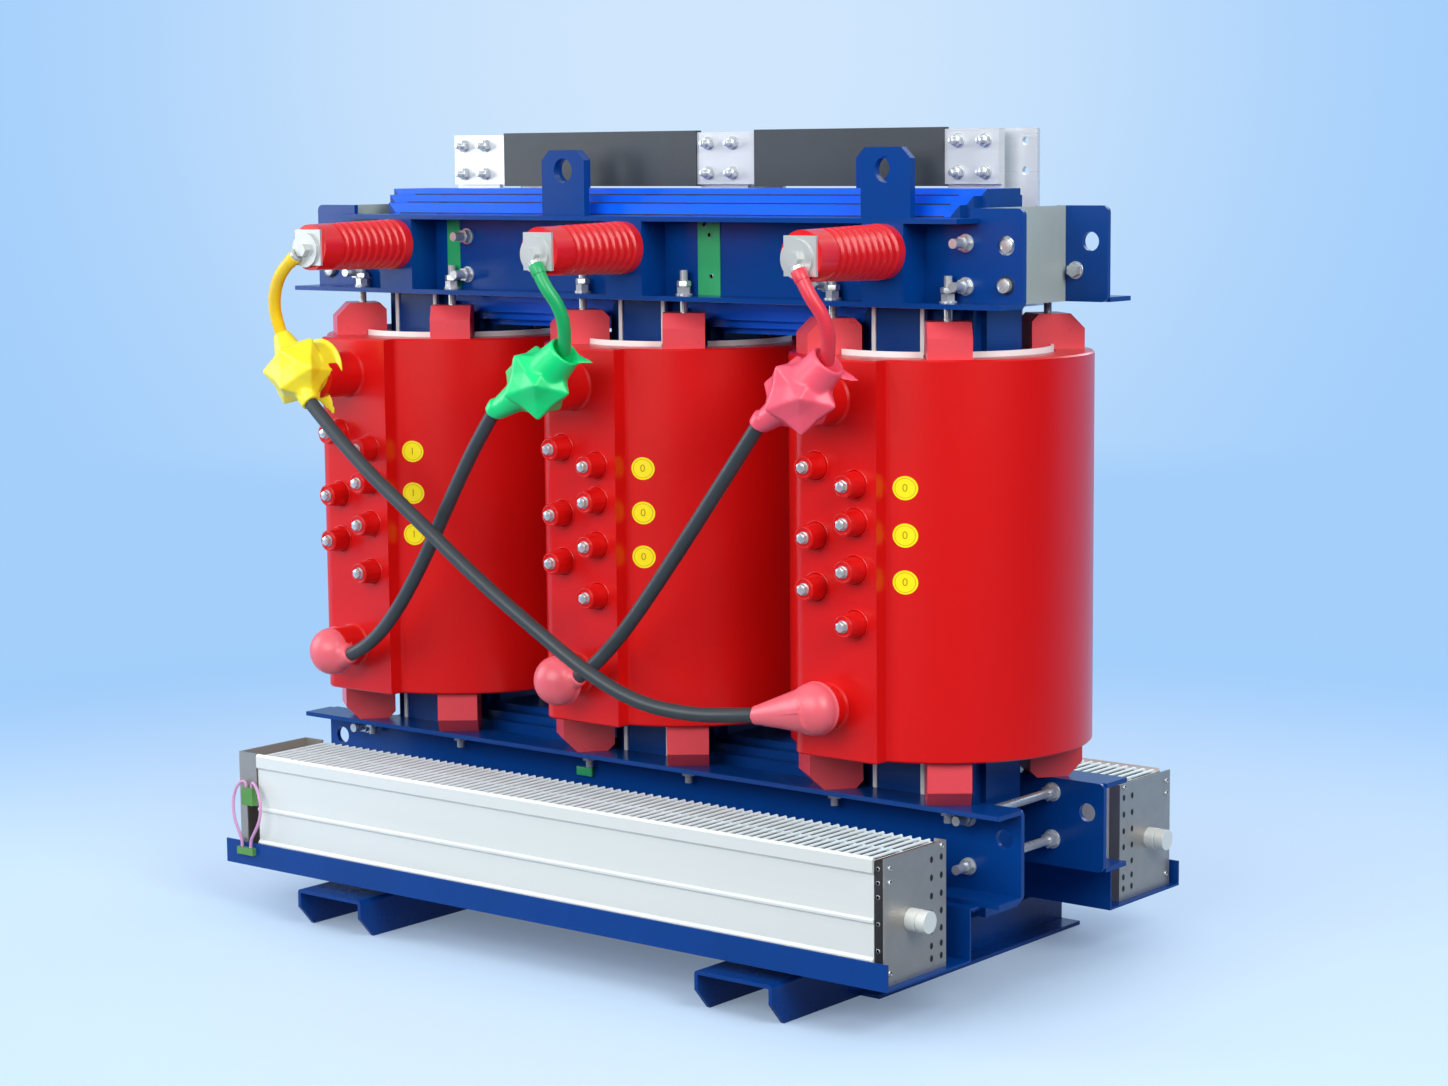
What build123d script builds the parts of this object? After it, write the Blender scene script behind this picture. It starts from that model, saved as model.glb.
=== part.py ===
from build123d import *
import os
from math import atan2, cos, degrees, hypot, radians, sin, sqrt, tan

# A cast-resin dry-type three-phase power transformer with cooling fans on both long sides.
# Millimetres. X runs along the transformer, to the right in front view. The front, with the
# high-voltage tap panels, faces -Y, and the low-voltage side faces +Y. Z is up from the floor.
# The origin is on the floor, under the middle of the core.

# Coils
coil_pitch = 485.0
coil_bottom = 357.0
coil_height = 576.0
hv_outer_radius = 225.0
hv_inner_radius = 168.0
lv_outer_radius = 152.0
lv_inner_radius = 121.0
coil_edge_round = 4.0

# Tap panel, a flat thickening at the front left of each high-voltage coil
panel_left = -99.0
panel_right = 58.0
panel_front = 244.0
panel_corner_round = 26.0
panel_step_round = 7.0

# Tap and terminal bosses on the panel, from the coil's own axis and bottom
tap_base_radius = 20.0
tap_tip_radius = 17.0
tap_length = 30.0
tap_left_x = -48.0
tap_right_x = 21.0
tap_left_heights = (423.0, 322.0, 248.0)
tap_right_heights = (400.0, 346.0, 278.0, 200.0)
terminal_boss_x = -26.0
upper_boss_radius = 36.0
upper_boss_length = 70.0
lower_boss_radius = 32.0
lower_boss_length = 46.0
boss_ring = 3.0
lower_boss_height = 76.0
upper_boss_height = 519.0

# Barrier cylinder between the coils
barrier_outer_radius = 165.5
barrier_wall = 4.0
barrier_rise = 8.0

# Core
limb_circle = 236.5
packet_widths = (220.0, 200.0, 175.0, 140.0, 100.0)
lower_yoke_centre = 212.0
upper_yoke_centre = 1060.0

# Clamps
clamp_plate = 8.0
clamp_flange_depth = 65.0
clamp_flange_plate = 7.0
clamp_half_length = 704.0
upper_clamp_bottom = 1004.0
upper_flange_top = 1130.0
upper_clamp_tab_top = 1144.0
upper_clamp_tab_length = 87.0
upper_top_flange_half = 630.0
lower_clamp_bottom = 155.0
lower_clamp_top = 290.0
clamp_corner_round = 10.0

# Lifting lugs
lug_width = 88.0
lug_top = 1231.0
lug_hole_height = 1199.0
lug_hole_radius = 19.0
lug_corner_cut = 16.0
lug_plate = 12.0
front_lug_places = (-150.0, 470.0)
rear_lug_places = (-345.0, 296.0)

# Insulator brackets and post insulators
insulator_x = 18.0
insulator_z = 1083.0
bracket_width = 72.0
bracket_plate = 5.0
insulator_length = 190.0
insulator_base_radius = 40.0
insulator_tip_radius = 36.0
insulator_groove = 5.5
insulator_sheds = 9
insulator_base_plain = 16.0
insulator_tip_plain = 34.0

# Terminal plate, lug and bolt on each insulator's tip
tip_plate_size = 56.0
tip_plate = 4.0
tip_lug_radius = 27.0
tip_bolt_across = 19.0
tip_bolt_head = 9.0
tip_bolt_x = 14.0
tip_bolt_z = 1079.0
lug_barrel_radius = 10.0
lug_barrel_start = 12.0
lug_barrel_end = 28.0

# Coil support blocks
block_inner_radius = 130.0
block_outer_radius = 212.0
block_width = 64.0
block_bevel = 22.0
upper_block_height = 52.0

# Pressing studs
stud_x = 102.0
stud_y = 130.0
stud_radius = 6.0
stud_rise = 38.0
nut_across = 19.0
nut_height = 10.0
washer_radius = 13.0
washer_thickness = 2.5
lower_stud_drop = 24.0

# Tie bolts and rods between front and rear clamps
tie_bolt_radius = 7.0
tie_bolt_rise = 22.0
tie_end_gap = 13.0
tie_mid_x = 360.0
upper_tie_heights = (1095.0, 1034.0)
lower_tie_gap = 19.0
lower_tie_heights = (268.0, 196.0)
clamp_end_hole_inset = 29.0
upper_end_hole_z = 1092.0
lower_end_hole_z = 244.0
clamp_end_hole_radius = 14.0

# Grey plates that close the ends between the upper clamps
end_plate_gap = 37.0
end_plate = 6.0

# Base beams
base_gauge = 820.0
base_width = 141.0
base_height = 61.0
base_plate = 6.0
base_front = 411.0
base_rear = 345.0
base_toe_depth = 28.0
base_toe_height = 32.0
base_lip_width = 34.0
base_lip_front = 200.0

# Fan trays
tray_half_length = 667.0
tray_inner = 188.0
tray_outer = 392.0
tray_bottom = 77.0
tray_rise = 39.0
tray_plate = 3.0
hanger_width = 180.0

# Fans
fan_front_gap = 8.0
fan_depth = 151.0
fan_top = 262.0
fan_left = -600.0
fan_right = 636.0
fan_end_left = -642.0
fan_end_right = 655.0
fan_plate = 2.5
guard_rod = 4.0
guard_pitch = 17.0
fan_flange_width = 16.0
fan_bracket_width = 40.0
fan_bracket_bottom = 175.0
cap_radius = 15.0
cap_length = 30.0

# Low-voltage bars
bar_top = 1258.0
bar_height = 84.0
bar_plate = 8.0
neutral_y = 185.0
riser_offsets = {"left": -130.0, "middle": -70.0, "right": -66.0}
riser_width = 98.0
riser_foot = (-50.0, 2.0)
riser_foot_y = 124.0
terminal_x = -14.0
terminal_y = 212.0
terminal_width = 86.0
terminal_foot = (8.0, 50.0)
terminal_foot_y = 134.0
bar_shoulder = 1100.0
bar_step_gap = 4.0
terminal_hole_radius = 6.5
terminal_hole_pitch = 45.0
sleeve_wall = 3.0
sleeve_start_gap = 21.0
sleeve_end_gap = 1.0

# Soft boots over the coil terminals: centre from the boss, and back and front from the panel
boot_clearance = 0.3
upper_boot_radius = 52.0
upper_boot_back = 40.0
upper_boot_front = 140.0
upper_boot_round = 24.0
upper_boot_offsets = {"left": (-2.0, 12.0), "middle": (6.0, 12.0), "right": (10.0, 9.0)}
lower_boot_radius = 38.5
lower_boot_back = 34.0
lower_boot_front = 68.0
lower_boot_round = 18.0
lower_boot_offsets = {"left": (-3.0, -2.0), "middle": (3.0, -2.0), "right": (4.0, 2.0)}
spout_mouth_radius = 14.0
spout_root_radius = 26.0
spout_length = 60.0
lower_spout_taper = 9.0
nipple_wall = 3.0
nipple_root_radius = 18.0
nipple_length = 45.0

# Insulating strips on the front clamp's web
strip_places = (-390.0, 140.5)
strip_widths = (28.0, 43.0)
strip_plate = 1.5

# Cables, each a route of points from its upper terminal to its lower one
cable_radius = 11.0
lead_radius = 10.0
delta_cable_routes = {
    "left": [(-490, -346, 836), (-398, -350, 758), (-261, -352, 671), (-137, -352, 588),
             (-14, -350, 516), (80, -344, 460), (171, -332, 420), (255, -312, 409),
             (325, -294, 413), (361, -292, 417)],
    "middle": [(-94, -346, 839), (-140, -338, 789), (-213, -322, 695), (-285, -308, 595),
               (-344, -300, 522), (-383, -297, 481), (-415, -295, 455), (-442, -294, 438),
               (-468, -293, 427)],
    "right": [(413, -346, 844), (360, -338, 783), (270, -320, 684), (185, -304, 592),
              (121, -298, 521), (80, -294, 483), (48, -291, 457), (18, -288, 439)],
}
lead_routes = {
    "left": [(-515, -376, 1048), (-541, -366, 1023), (-557, -357, 997), (-565, -346, 968),
             (-562, -337, 940)],
    "middle": [(40, -376, 1033), (54, -364, 1007), (57, -354, 980), (50, -344, 956),
               (40, -335, 933)],
    "right": [(526, -376, 1031), (539, -364, 1005), (542, -354, 980), (536, -344, 957),
              (526, -335, 936)],
}

# The front fan's small terminal block and cable clip at its left end, and the wires between them
wire_radius = 2.5
wire_block_left = -627.0
wire_block_right = -602.0
wire_block_depth = 11.0
wire_block_bottom = 177.0
wire_block_top = 205.0
clip_left = -634.0
clip_right = -597.0
clip_depth = 8.0
clip_bottom = 96.0
clip_top = 108.0
fan_wire_routes = {
    "left": [(-621, -388, 205.3), (-621, -388, 216), (-632, -391, 214), (-639, -396, 201),
             (-641, -400, 178), (-636, -402, 154), (-627, -400, 132), (-624, -397, 120),
             (-624, -397, 108.3)],
    "right": [(-608, -388, 205.3), (-608, -388, 216), (-595, -391, 212), (-582, -396, 197),
              (-574, -400, 177), (-577, -402, 154), (-591, -401, 134), (-604, -397, 120),
              (-604, -397, 108.3)],
}

# Working values that follow from the sizes above
coil_top = coil_bottom + coil_height
terminal_bosses = ((lower_boss_height, lower_boss_radius, lower_boss_length),
                   (upper_boss_height, upper_boss_radius, upper_boss_length))
fan_bottom = tray_bottom + tray_plate
coil_places = {"left": -coil_pitch, "middle": 0.0, "right": coil_pitch}
packet_halves = [sqrt(limb_circle**2 - w**2) / 2 for w in packet_widths]
core_half_stack = packet_halves[-1]
yoke_half = packet_widths[0] / 2
web_inner = core_half_stack
web_outer = web_inner + clamp_plate
flange_tip = web_inner + clamp_flange_depth
lower_yoke_bottom = lower_yoke_centre - yoke_half
upper_yoke_top = upper_yoke_centre + yoke_half
core_half_length = coil_pitch + yoke_half
tie_end_x = core_half_length + tie_end_gap
lower_tie_x = core_half_length + lower_tie_gap
end_plate_x = core_half_length + end_plate_gap
clamp_end_hole_x = clamp_half_length - clamp_end_hole_inset
fan_outer = tray_outer - fan_front_gap
fan_inner = fan_outer - fan_depth
upper_mid_ties = [(side * tie_mid_x, z) for side in (-1, 1) for z in upper_tie_heights]
upper_tie_places = upper_mid_ties + [(side * tie_end_x, z) for side in (-1, 1)
                                     for z in upper_tie_heights]
lower_tie_places = [(side * lower_tie_x, z) for side in (-1, 1) for z in lower_tie_heights]

os.makedirs("parts", exist_ok=True)


def save(name, shape):
    export_step(shape, f"parts/{name}.step")


def block(x0, x1, y0, y1, z0, z1):
    size = (abs(x1 - x0), abs(y1 - y0), abs(z1 - z0))
    return Pos((x0 + x1) / 2, (y0 + y1) / 2, (z0 + z1) / 2) * Box(*size)


def rod_y(x, z, y0, y1, radius):
    return Pos(x, (y0 + y1) / 2, z) * Rot(90, 0, 0) * Cylinder(radius, abs(y1 - y0))


def rod_z(x, y, z0, z1, radius):
    return Pos(x, y, (z0 + z1) / 2) * Cylinder(radius, z1 - z0)


def hexagon_y(x, z, y0, y1, across):
    plane = Plane((x, y0, z), x_dir=(1, 0, 0), z_dir=(0, 1 if y1 > y0 else -1, 0))
    outline = RegularPolygon(across / 2, 6, major_radius=False)
    return extrude(plane * outline, abs(y1 - y0))


def hexagon_z(x, y, z0, z1, across):
    outline = RegularPolygon(across / 2, 6, major_radius=False)
    return extrude(Plane((x, y, z0)) * outline, z1 - z0)


def frustum_y(x, z, y0, y1, radius0, radius1):
    """A round cone or bush along Y, from y0 to y1."""
    length = abs(y1 - y0)
    turn = 90 if y1 < y0 else -90
    return Pos(x, (y0 + y1) / 2, z) * Rot(turn, 0, 0) * Cone(radius0, radius1, length)


def to_rear(shape):
    return mirror(shape, about=Plane.XZ)


def to_left(shape):
    return mirror(shape, about=Plane.YZ)


# Core: stepped packets of steel, with 45 degree mitres where limbs and yokes meet

def stepped_along_z(x, z0, z1):
    steps = [block(x - w / 2, x + w / 2, -t, t, z0, z1)
             for w, t in zip(packet_widths, packet_halves)]
    return steps[0] + steps[1:]


def stepped_along_x(z, x0, x1):
    steps = [block(x0, x1, -t, t, z - w / 2, z + w / 2)
             for w, t in zip(packet_widths, packet_halves)]
    return steps[0] + steps[1:]


def mitre_prism(points):
    outline = Plane.XZ * make_face(Polyline(*points, close=True))
    return extrude(outline, core_half_stack * 1.2, both=True)


def limb_region(side):
    """The part of the core's front view that belongs to a limb: side -1, 0 or 1."""
    x = side * coil_pitch
    w = yoke_half
    low, high = lower_yoke_centre, upper_yoke_centre
    if side == 0:
        points = [(-w, low + w), (0, low), (w, low + w), (w, high - w), (0, high), (-w, high - w)]
    else:
        points = [(x - side * w, low + w), (x + side * w, low - w),
                  (x + side * w, high + w), (x - side * w, high - w)]
    return mitre_prism(points)


def build_core():
    limbs = {}
    for name, side in (("left", -1), ("middle", 0), ("right", 1)):
        full = stepped_along_z(side * coil_pitch, lower_yoke_bottom, upper_yoke_top)
        limbs[name] = full & limb_region(side)
    yokes = {}
    for name, z in (("lower", lower_yoke_centre), ("upper", upper_yoke_centre)):
        yoke = stepped_along_x(z, -core_half_length, core_half_length)
        for side in (-1, 0, 1):
            yoke = yoke - limb_region(side)
        yokes[name] = yoke
    for x, z in upper_mid_ties:
        yokes["upper"] = yokes["upper"] - rod_y(x, z, -web_inner, web_inner, tie_bolt_radius + 2)
    return limbs, yokes


# Coils

def build_hv_coil(x):
    drum = Circle(hv_outer_radius)
    panel = Pos((panel_left + panel_right) / 2, -panel_front / 2) * Rectangle(
        panel_right - panel_left, panel_front)
    outline = drum + panel
    left_corner = outline.vertices().filter_by_position(
        Axis.X, panel_left - 0.1, panel_left + 0.1).sort_by(Axis.Y)[0]
    outline = fillet(left_corner, panel_corner_round)
    step = outline.vertices().filter_by_position(
        Axis.X, panel_right - 0.1, panel_right + 0.1).sort_by(Axis.Y)[1]
    outline = fillet(step, panel_step_round)
    body = extrude(Pos(0, 0, coil_bottom) * outline, coil_height)
    rims = body.faces().filter_by(Axis.Z).edges()
    body = chamfer(rims, coil_edge_round * 0.6)
    body = body - rod_z(0, 0, coil_bottom - 1, coil_top + 1, hv_inner_radius)
    taps = [(tap_left_x, h) for h in tap_left_heights] + [(tap_right_x, h) for h in tap_right_heights]
    tip = panel_front + tap_length
    for tap_x, height in taps:
        z = coil_bottom + height
        body += frustum_y(tap_x, z, -panel_front + 1, -tip, tap_base_radius, tap_tip_radius)
    for height, radius, length in terminal_bosses:
        z = coil_bottom + height
        body += rod_y(terminal_boss_x, z, -panel_front + 1, -panel_front - length, radius)
        body += frustum_y(terminal_boss_x, z, -panel_front + 1, -panel_front - boss_ring,
                          radius + boss_ring + 1, radius)
    return Pos(x, 0, 0) * body


def build_lv_coil(x):
    winding = Cylinder(lv_outer_radius, coil_height) - Cylinder(lv_inner_radius, coil_height + 2)
    return Pos(x, 0, coil_bottom + coil_height / 2) * winding


def block_sweep(x, angle, z0, z1, width, r0, r1):
    return Pos(x, 0, 0) * Rot(0, 0, angle) * block(r0, r1, -width / 2, width / 2, z0, z1)


stud_angle = degrees(atan2(stud_y, stud_x))
block_angles = (-stud_angle, -180 + stud_angle, stud_angle, 180 - stud_angle)


def build_barrier(x):
    """The white cylinder, proud of the coil at both ends and notched round the blocks."""
    z0, z1 = coil_bottom - barrier_rise, coil_top + barrier_rise
    ring = rod_z(x, 0, z0, z1, barrier_outer_radius)
    ring = ring - rod_z(x, 0, z0 - 1, z1 + 1, barrier_outer_radius - barrier_wall)
    notch = block_width + 6
    for angle in block_angles:
        for low, high in ((coil_top, z1 + 1), (z0 - 1, coil_bottom)):
            ring = ring - block_sweep(x, angle, low, high, notch, 140, 200)
    return ring


def support_block(x, angle, z0, z1):
    """A cast block that lies radially across the coil's end, with bevelled outer corners."""
    rise = z1 - z0
    r0, r1 = block_inner_radius, block_outer_radius
    upper = z0 > coil_bottom
    outer = (r1, z1 - block_bevel) if upper else (r1, z0 + block_bevel)
    far = (r1 - block_bevel, z1) if upper else (r1 - block_bevel, z0)
    near_corner = block_bevel * 0.5
    if upper:
        points = [(r0, z0), (r1, z0), outer, far, (r0 + near_corner, z1), (r0, z1 - near_corner)]
    else:
        points = [(r0, z1), (r1, z1), outer, far, (r0 + near_corner, z0), (r0, z0 + near_corner)]
    side = Plane.XZ * make_face(Polyline(*points, close=True))
    solid = extrude(side, block_width / 2, both=True)
    return Pos(x, 0, 0) * Rot(0, 0, angle) * solid


def build_blocks(x):
    solids = []
    for angle in block_angles:
        solids.append(support_block(x, angle, coil_top, coil_top + upper_block_height))
        solids.append(support_block(x, angle, lower_clamp_top, coil_bottom))
    return solids


# Clamps

def clamp_web(z0, z1, tab_top=None):
    half = clamp_half_length
    if tab_top is None:
        points = [(-half, z0), (half, z0), (half, z1), (-half, z1)]
    else:
        tab = half - upper_clamp_tab_length
        points = [(-half, z0), (half, z0), (half, tab_top), (tab, tab_top), (tab, z1),
                  (-tab, z1), (-tab, tab_top), (-half, tab_top)]
    outline = make_face(Polyline(*points, close=True))
    corners = outline.vertices().filter_by_position(
        Axis.X, half - 0.1, half + 0.1) + outline.vertices().filter_by_position(
        Axis.X, -half - 0.1, -half + 0.1)
    outline = fillet(corners, clamp_corner_round)
    plane = Plane((0, -web_inner, 0), x_dir=(1, 0, 0), z_dir=(0, -1, 0))
    return extrude(plane * outline, clamp_plate)


def flange(half_length, z0, z1):
    return block(-half_length, half_length, -flange_tip, -web_outer, z0, z1)


def lifting_lug(x):
    half = lug_width / 2
    cut = lug_corner_cut
    points = [(x - half, upper_flange_top), (x + half, upper_flange_top),
              (x + half, lug_top - cut), (x + half - cut, lug_top),
              (x - half + cut, lug_top), (x - half, lug_top - cut)]
    plane = Plane((0, -web_inner, 0), x_dir=(1, 0, 0), z_dir=(0, -1, 0))
    plate = extrude(plane * make_face(Polyline(*points, close=True)), lug_plate)
    hole = rod_y(x, lug_hole_height, -web_inner + 1, -web_inner - lug_plate - 1, lug_hole_radius)
    return plate - hole


def insulator_bracket(x):
    """A bent plate between the flanges that carries one post insulator."""
    half = bracket_width / 2
    z0, z1 = upper_clamp_bottom + clamp_flange_plate, upper_flange_top - clamp_flange_plate
    cover = block(x - half, x + half, -flange_tip, -web_outer, z0, z1)
    return cover - block(x - half + bracket_plate, x + half - bracket_plate,
                         -flange_tip + bracket_plate, -web_outer, z0, z1)


def stud_holes(z0, z1):
    places = [(x + side * stud_x, -stud_y) for x in coil_places.values() for side in (-1, 1)]
    return [rod_z(x, y, z0, z1, stud_radius + 0.5) for x, y in places]


def tie_holes(places):
    return [rod_y(x, z, -web_inner + 1, -web_outer - 1, tie_bolt_radius + 0.5) for x, z in places]


def build_upper_clamp(lug_places):
    """The web, with its lifting lugs and the holes for bolts."""
    clamp = clamp_web(upper_clamp_bottom, upper_flange_top, upper_clamp_tab_top)
    for x in lug_places:
        clamp += lifting_lug(x)
    cuts = tie_holes(upper_tie_places)
    for side in (-1, 1):
        cuts.append(rod_y(side * clamp_end_hole_x, upper_end_hole_z, -web_inner + 1,
                          -web_outer - 1, clamp_end_hole_radius))
    return clamp - cuts


def build_upper_flanges(with_brackets):
    """The flanges welded to the web, and the insulators' brackets between them."""
    z0, z1 = upper_clamp_bottom, upper_flange_top
    bottom = flange(clamp_half_length, z0, z0 + clamp_flange_plate)
    bottom = bottom - stud_holes(z0 - 1, z0 + clamp_flange_plate + 1)
    plates = [bottom, flange(upper_top_flange_half, z1 - clamp_flange_plate, z1)]
    if with_brackets:
        plates += [insulator_bracket(x + insulator_x) for x in coil_places.values()]
    return Compound(children=plates)


def build_lower_clamp():
    z0, z1 = lower_clamp_bottom, lower_clamp_top
    clamp = clamp_web(z0, z1)
    clamp += flange(clamp_half_length, z0, z0 + clamp_flange_plate)
    clamp += flange(clamp_half_length, z1 - clamp_flange_plate, z1)
    cuts = stud_holes(z1 - clamp_flange_plate - 1, z1 + 1) + tie_holes(lower_tie_places)
    for side in (-1, 1):
        cuts.append(rod_y(side * clamp_end_hole_x, lower_end_hole_z, -web_inner + 1,
                          -web_outer - 1, clamp_end_hole_radius))
    return clamp - cuts


# Fasteners

def pressing_stud(x, y, upper):
    """A stud through the clamp's flange, with nut and washer, that presses on a coil block."""
    if upper:
        z_face = upper_clamp_bottom + clamp_flange_plate
        z_end = coil_top + upper_block_height
        shank = rod_z(x, y, z_end, z_face + stud_rise, stud_radius)
        washer = rod_z(x, y, z_face, z_face + washer_thickness, washer_radius)
        nut = hexagon_z(x, y, z_face + washer_thickness, z_face + washer_thickness + nut_height, nut_across)
        return shank + washer + nut
    z_face = lower_clamp_top - clamp_flange_plate
    shank = rod_z(x, y, z_face - lower_stud_drop, lower_clamp_top, stud_radius)
    washer = rod_z(x, y, z_face - washer_thickness, z_face, washer_radius)
    nut = hexagon_z(x, y, z_face - washer_thickness - nut_height, z_face - washer_thickness, nut_across)
    return shank + washer + nut


def build_studs(upper):
    return [pressing_stud(x + sx * stud_x, sy * stud_y, upper)
            for x in coil_places.values() for sx in (-1, 1) for sy in (-1, 1)]


def tie_rod(x, z):
    end = web_outer + washer_thickness + nut_height + tie_bolt_rise
    rod = rod_y(x, z, -end, end, tie_bolt_radius)
    for side in (-1, 1):
        y0 = side * web_outer
        y1 = side * (web_outer + washer_thickness)
        rod += rod_y(x, z, y0, y1, washer_radius)
        rod += hexagon_y(x, z, y1, side * (web_outer + washer_thickness + nut_height), nut_across)
    return rod


# Insulators

def build_insulator(x):
    """A ribbed resin post along -Y, turned from one profile."""
    start = flange_tip
    end = start + insulator_length
    ribbed = insulator_length - insulator_base_plain - insulator_tip_plain
    pitch = ribbed / insulator_sheds
    points = [(0, 0), (insulator_base_radius, 0), (insulator_base_radius, insulator_base_plain)]
    for i in range(insulator_sheds):
        foot = insulator_base_plain + i * pitch
        share = (foot + pitch) / insulator_length
        rib = insulator_base_radius + (insulator_tip_radius - insulator_base_radius) * share
        points += [(rib - insulator_groove, foot + pitch * 0.2), (rib - insulator_groove, foot + pitch * 0.5),
                   (rib, foot + pitch * 0.75), (rib, foot + pitch)]
    points += [(insulator_tip_radius, insulator_length), (0, insulator_length)]
    profile = make_face(Polyline(*points, close=True))
    post = revolve(profile, Axis.Y)
    return Pos(x, -start, insulator_z) * Rot(180, 0, 0) * post


def insulator_tip_y():
    return flange_tip + insulator_length


def lug_barrel_angle(name):
    """The barrel points along the first run of its lead."""
    x, z = lead_routes[name][0][0], lead_routes[name][0][2]
    return atan2(z - tip_bolt_z, x - coil_places[name] - tip_bolt_x)


def build_tip_terminal(name):
    """Square plate on the insulator's tip, with a cable lug and bolt head."""
    x = coil_places[name]
    y0 = -insulator_tip_y()
    half = tip_plate_size / 2
    bolt_x = x + tip_bolt_x
    xc = x + insulator_x
    terminal = block(xc - half, xc + half, y0, y0 - tip_plate, insulator_z - half, insulator_z + half)
    terminal += rod_y(bolt_x, tip_bolt_z, y0 - tip_plate, y0 - 2 * tip_plate, tip_lug_radius)
    terminal += hexagon_y(bolt_x, tip_bolt_z, y0 - 2 * tip_plate,
                          y0 - 2 * tip_plate - tip_bolt_head, tip_bolt_across)
    reach = lug_barrel_end - lug_barrel_start
    barrel = Pos(lug_barrel_start + reach / 2, 0, 0) * Rot(0, 90, 0) * Cylinder(lug_barrel_radius, reach)
    turn = Rot(0, -degrees(lug_barrel_angle(name)), 0)
    return terminal + Pos(bolt_x, lug_barrel_y(), tip_bolt_z) * turn * barrel


def lug_barrel_y():
    return -insulator_tip_y() - tip_plate - lug_barrel_radius


def lug_barrel_tip(name):
    """The end of one lug's barrel, where its lead starts."""
    angle = lug_barrel_angle(name)
    return (coil_places[name] + tip_bolt_x + lug_barrel_end * cos(angle), lug_barrel_y(),
            tip_bolt_z + lug_barrel_end * sin(angle))


# Base

def build_base_beam():
    """Right-hand base beam: a folded inverted channel with toes, a pedestal and a rear lip."""
    x0, x1 = (base_gauge - base_width) / 2, (base_gauge + base_width) / 2
    t = base_plate
    beam = block(x0, x1, -base_front, base_rear, 0, base_height)
    beam = beam - block(x0 + t, x1 - t, -base_front - 1, base_rear + 1, -1, base_height - t)
    edges = beam.edges().filter_by(Axis.Y).sort_by(Axis.Z)[-2:]
    beam = fillet(edges, t)
    toe = make_face(Polyline((-base_front - 1, -1), (-base_front + base_toe_depth, -1),
                             (-base_front + base_toe_depth, 0), (-base_front, base_toe_height),
                             (-base_front - 1, base_toe_height), close=True))
    plane = Plane((x0 - 1, 0, 0), x_dir=(0, 1, 0), z_dir=(1, 0, 0))
    beam = beam - extrude(plane * toe, base_width + 2)
    p0, p1 = x0 + t, x1 - t
    foot = base_height - t / 2
    pedestal = block(p0, p1, -flange_tip, flange_tip, foot, lower_clamp_bottom)
    pedestal = pedestal - block(p0 + t, p1 - t, -flange_tip - 1, flange_tip + 1,
                                foot, lower_clamp_bottom - t)
    pedestal = pedestal - block(p0 - 1, p1 + 1, -web_inner, web_inner,
                                lower_yoke_bottom, lower_clamp_bottom + 1)
    lip = block(x1, x1 + base_lip_width, -base_lip_front, base_rear, 0, t)
    return beam + pedestal + lip


# Fans and their trays, built at the front

def build_tray():
    t = tray_plate
    length = tray_half_length
    tray = block(-length, length, -tray_outer, -tray_inner, tray_bottom, tray_bottom + t)
    tray += block(-length, length, -tray_outer, -tray_outer + t, tray_bottom, tray_bottom + tray_rise)
    tray += block(-length, length, -tray_inner - t, -tray_inner, tray_bottom, tray_bottom + tray_rise)
    for side in (-1, 1):
        x0, x1 = side * (length - hanger_width), side * length
        tray += block(x0, x1, -tray_inner - t, -tray_inner, tray_bottom, lower_clamp_bottom)
        tray += block(x0, x1, -tray_inner, -web_outer - 8, lower_clamp_bottom - t, lower_clamp_bottom)
    return tray


def build_fan_housing():
    """Aluminium skin: a trough with a rolled top edge, a bead and a bottom lip on its front."""
    y0, y1 = -fan_outer, -fan_inner
    z0, z1 = fan_bottom, fan_top
    top = z1 - 8
    points = [(y0, z0), (y1, z0), (y1, z1 - 6), (y0 + 6, z1 - 6), (y0 + 3, z1), (y0 - 0, z1 - 4),
              (y0, top - 14), (y0 + 4, top - 18)]
    mid = z0 + (z1 - z0) * 0.5
    points += [(y0 + 4, mid + 4), (y0 + 1, mid + 1), (y0 + 1, mid - 2), (y0 + 4, mid - 5),
               (y0 + 4, z0 + 40), (y0, z0 + 36)]
    outline = make_face(Polyline(*points, close=True))
    plane = Plane((fan_left, 0, 0), x_dir=(0, 1, 0), z_dir=(1, 0, 0))
    skin = extrude(plane * outline, fan_right - fan_left)
    return skin - block(fan_left + 4, fan_right - 4, y0 + 14, y1 - 6, z1 - 30, z1 + 1)


def build_fan_guard():
    """Rods across the fan's mouth, welded to three long wires."""
    z = fan_top - 6
    y0, y1 = -fan_outer + 6, -fan_inner
    count = int((fan_right - fan_left - 8) / guard_pitch)
    start = (fan_left + fan_right) / 2 - count * guard_pitch / 2
    half = guard_rod / 2
    parts = [block(start + i * guard_pitch - half, start + i * guard_pitch + half, y0, y1,
                   z, z + guard_rod) for i in range(count + 1)]
    wires = [block(start - half, start + count * guard_pitch + half, y - half, y + half,
                   z, z + guard_rod) for y in (y0 + half, (y0 + y1) / 2, y1 - half)]
    return wires[0] + wires[1:] + parts


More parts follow.
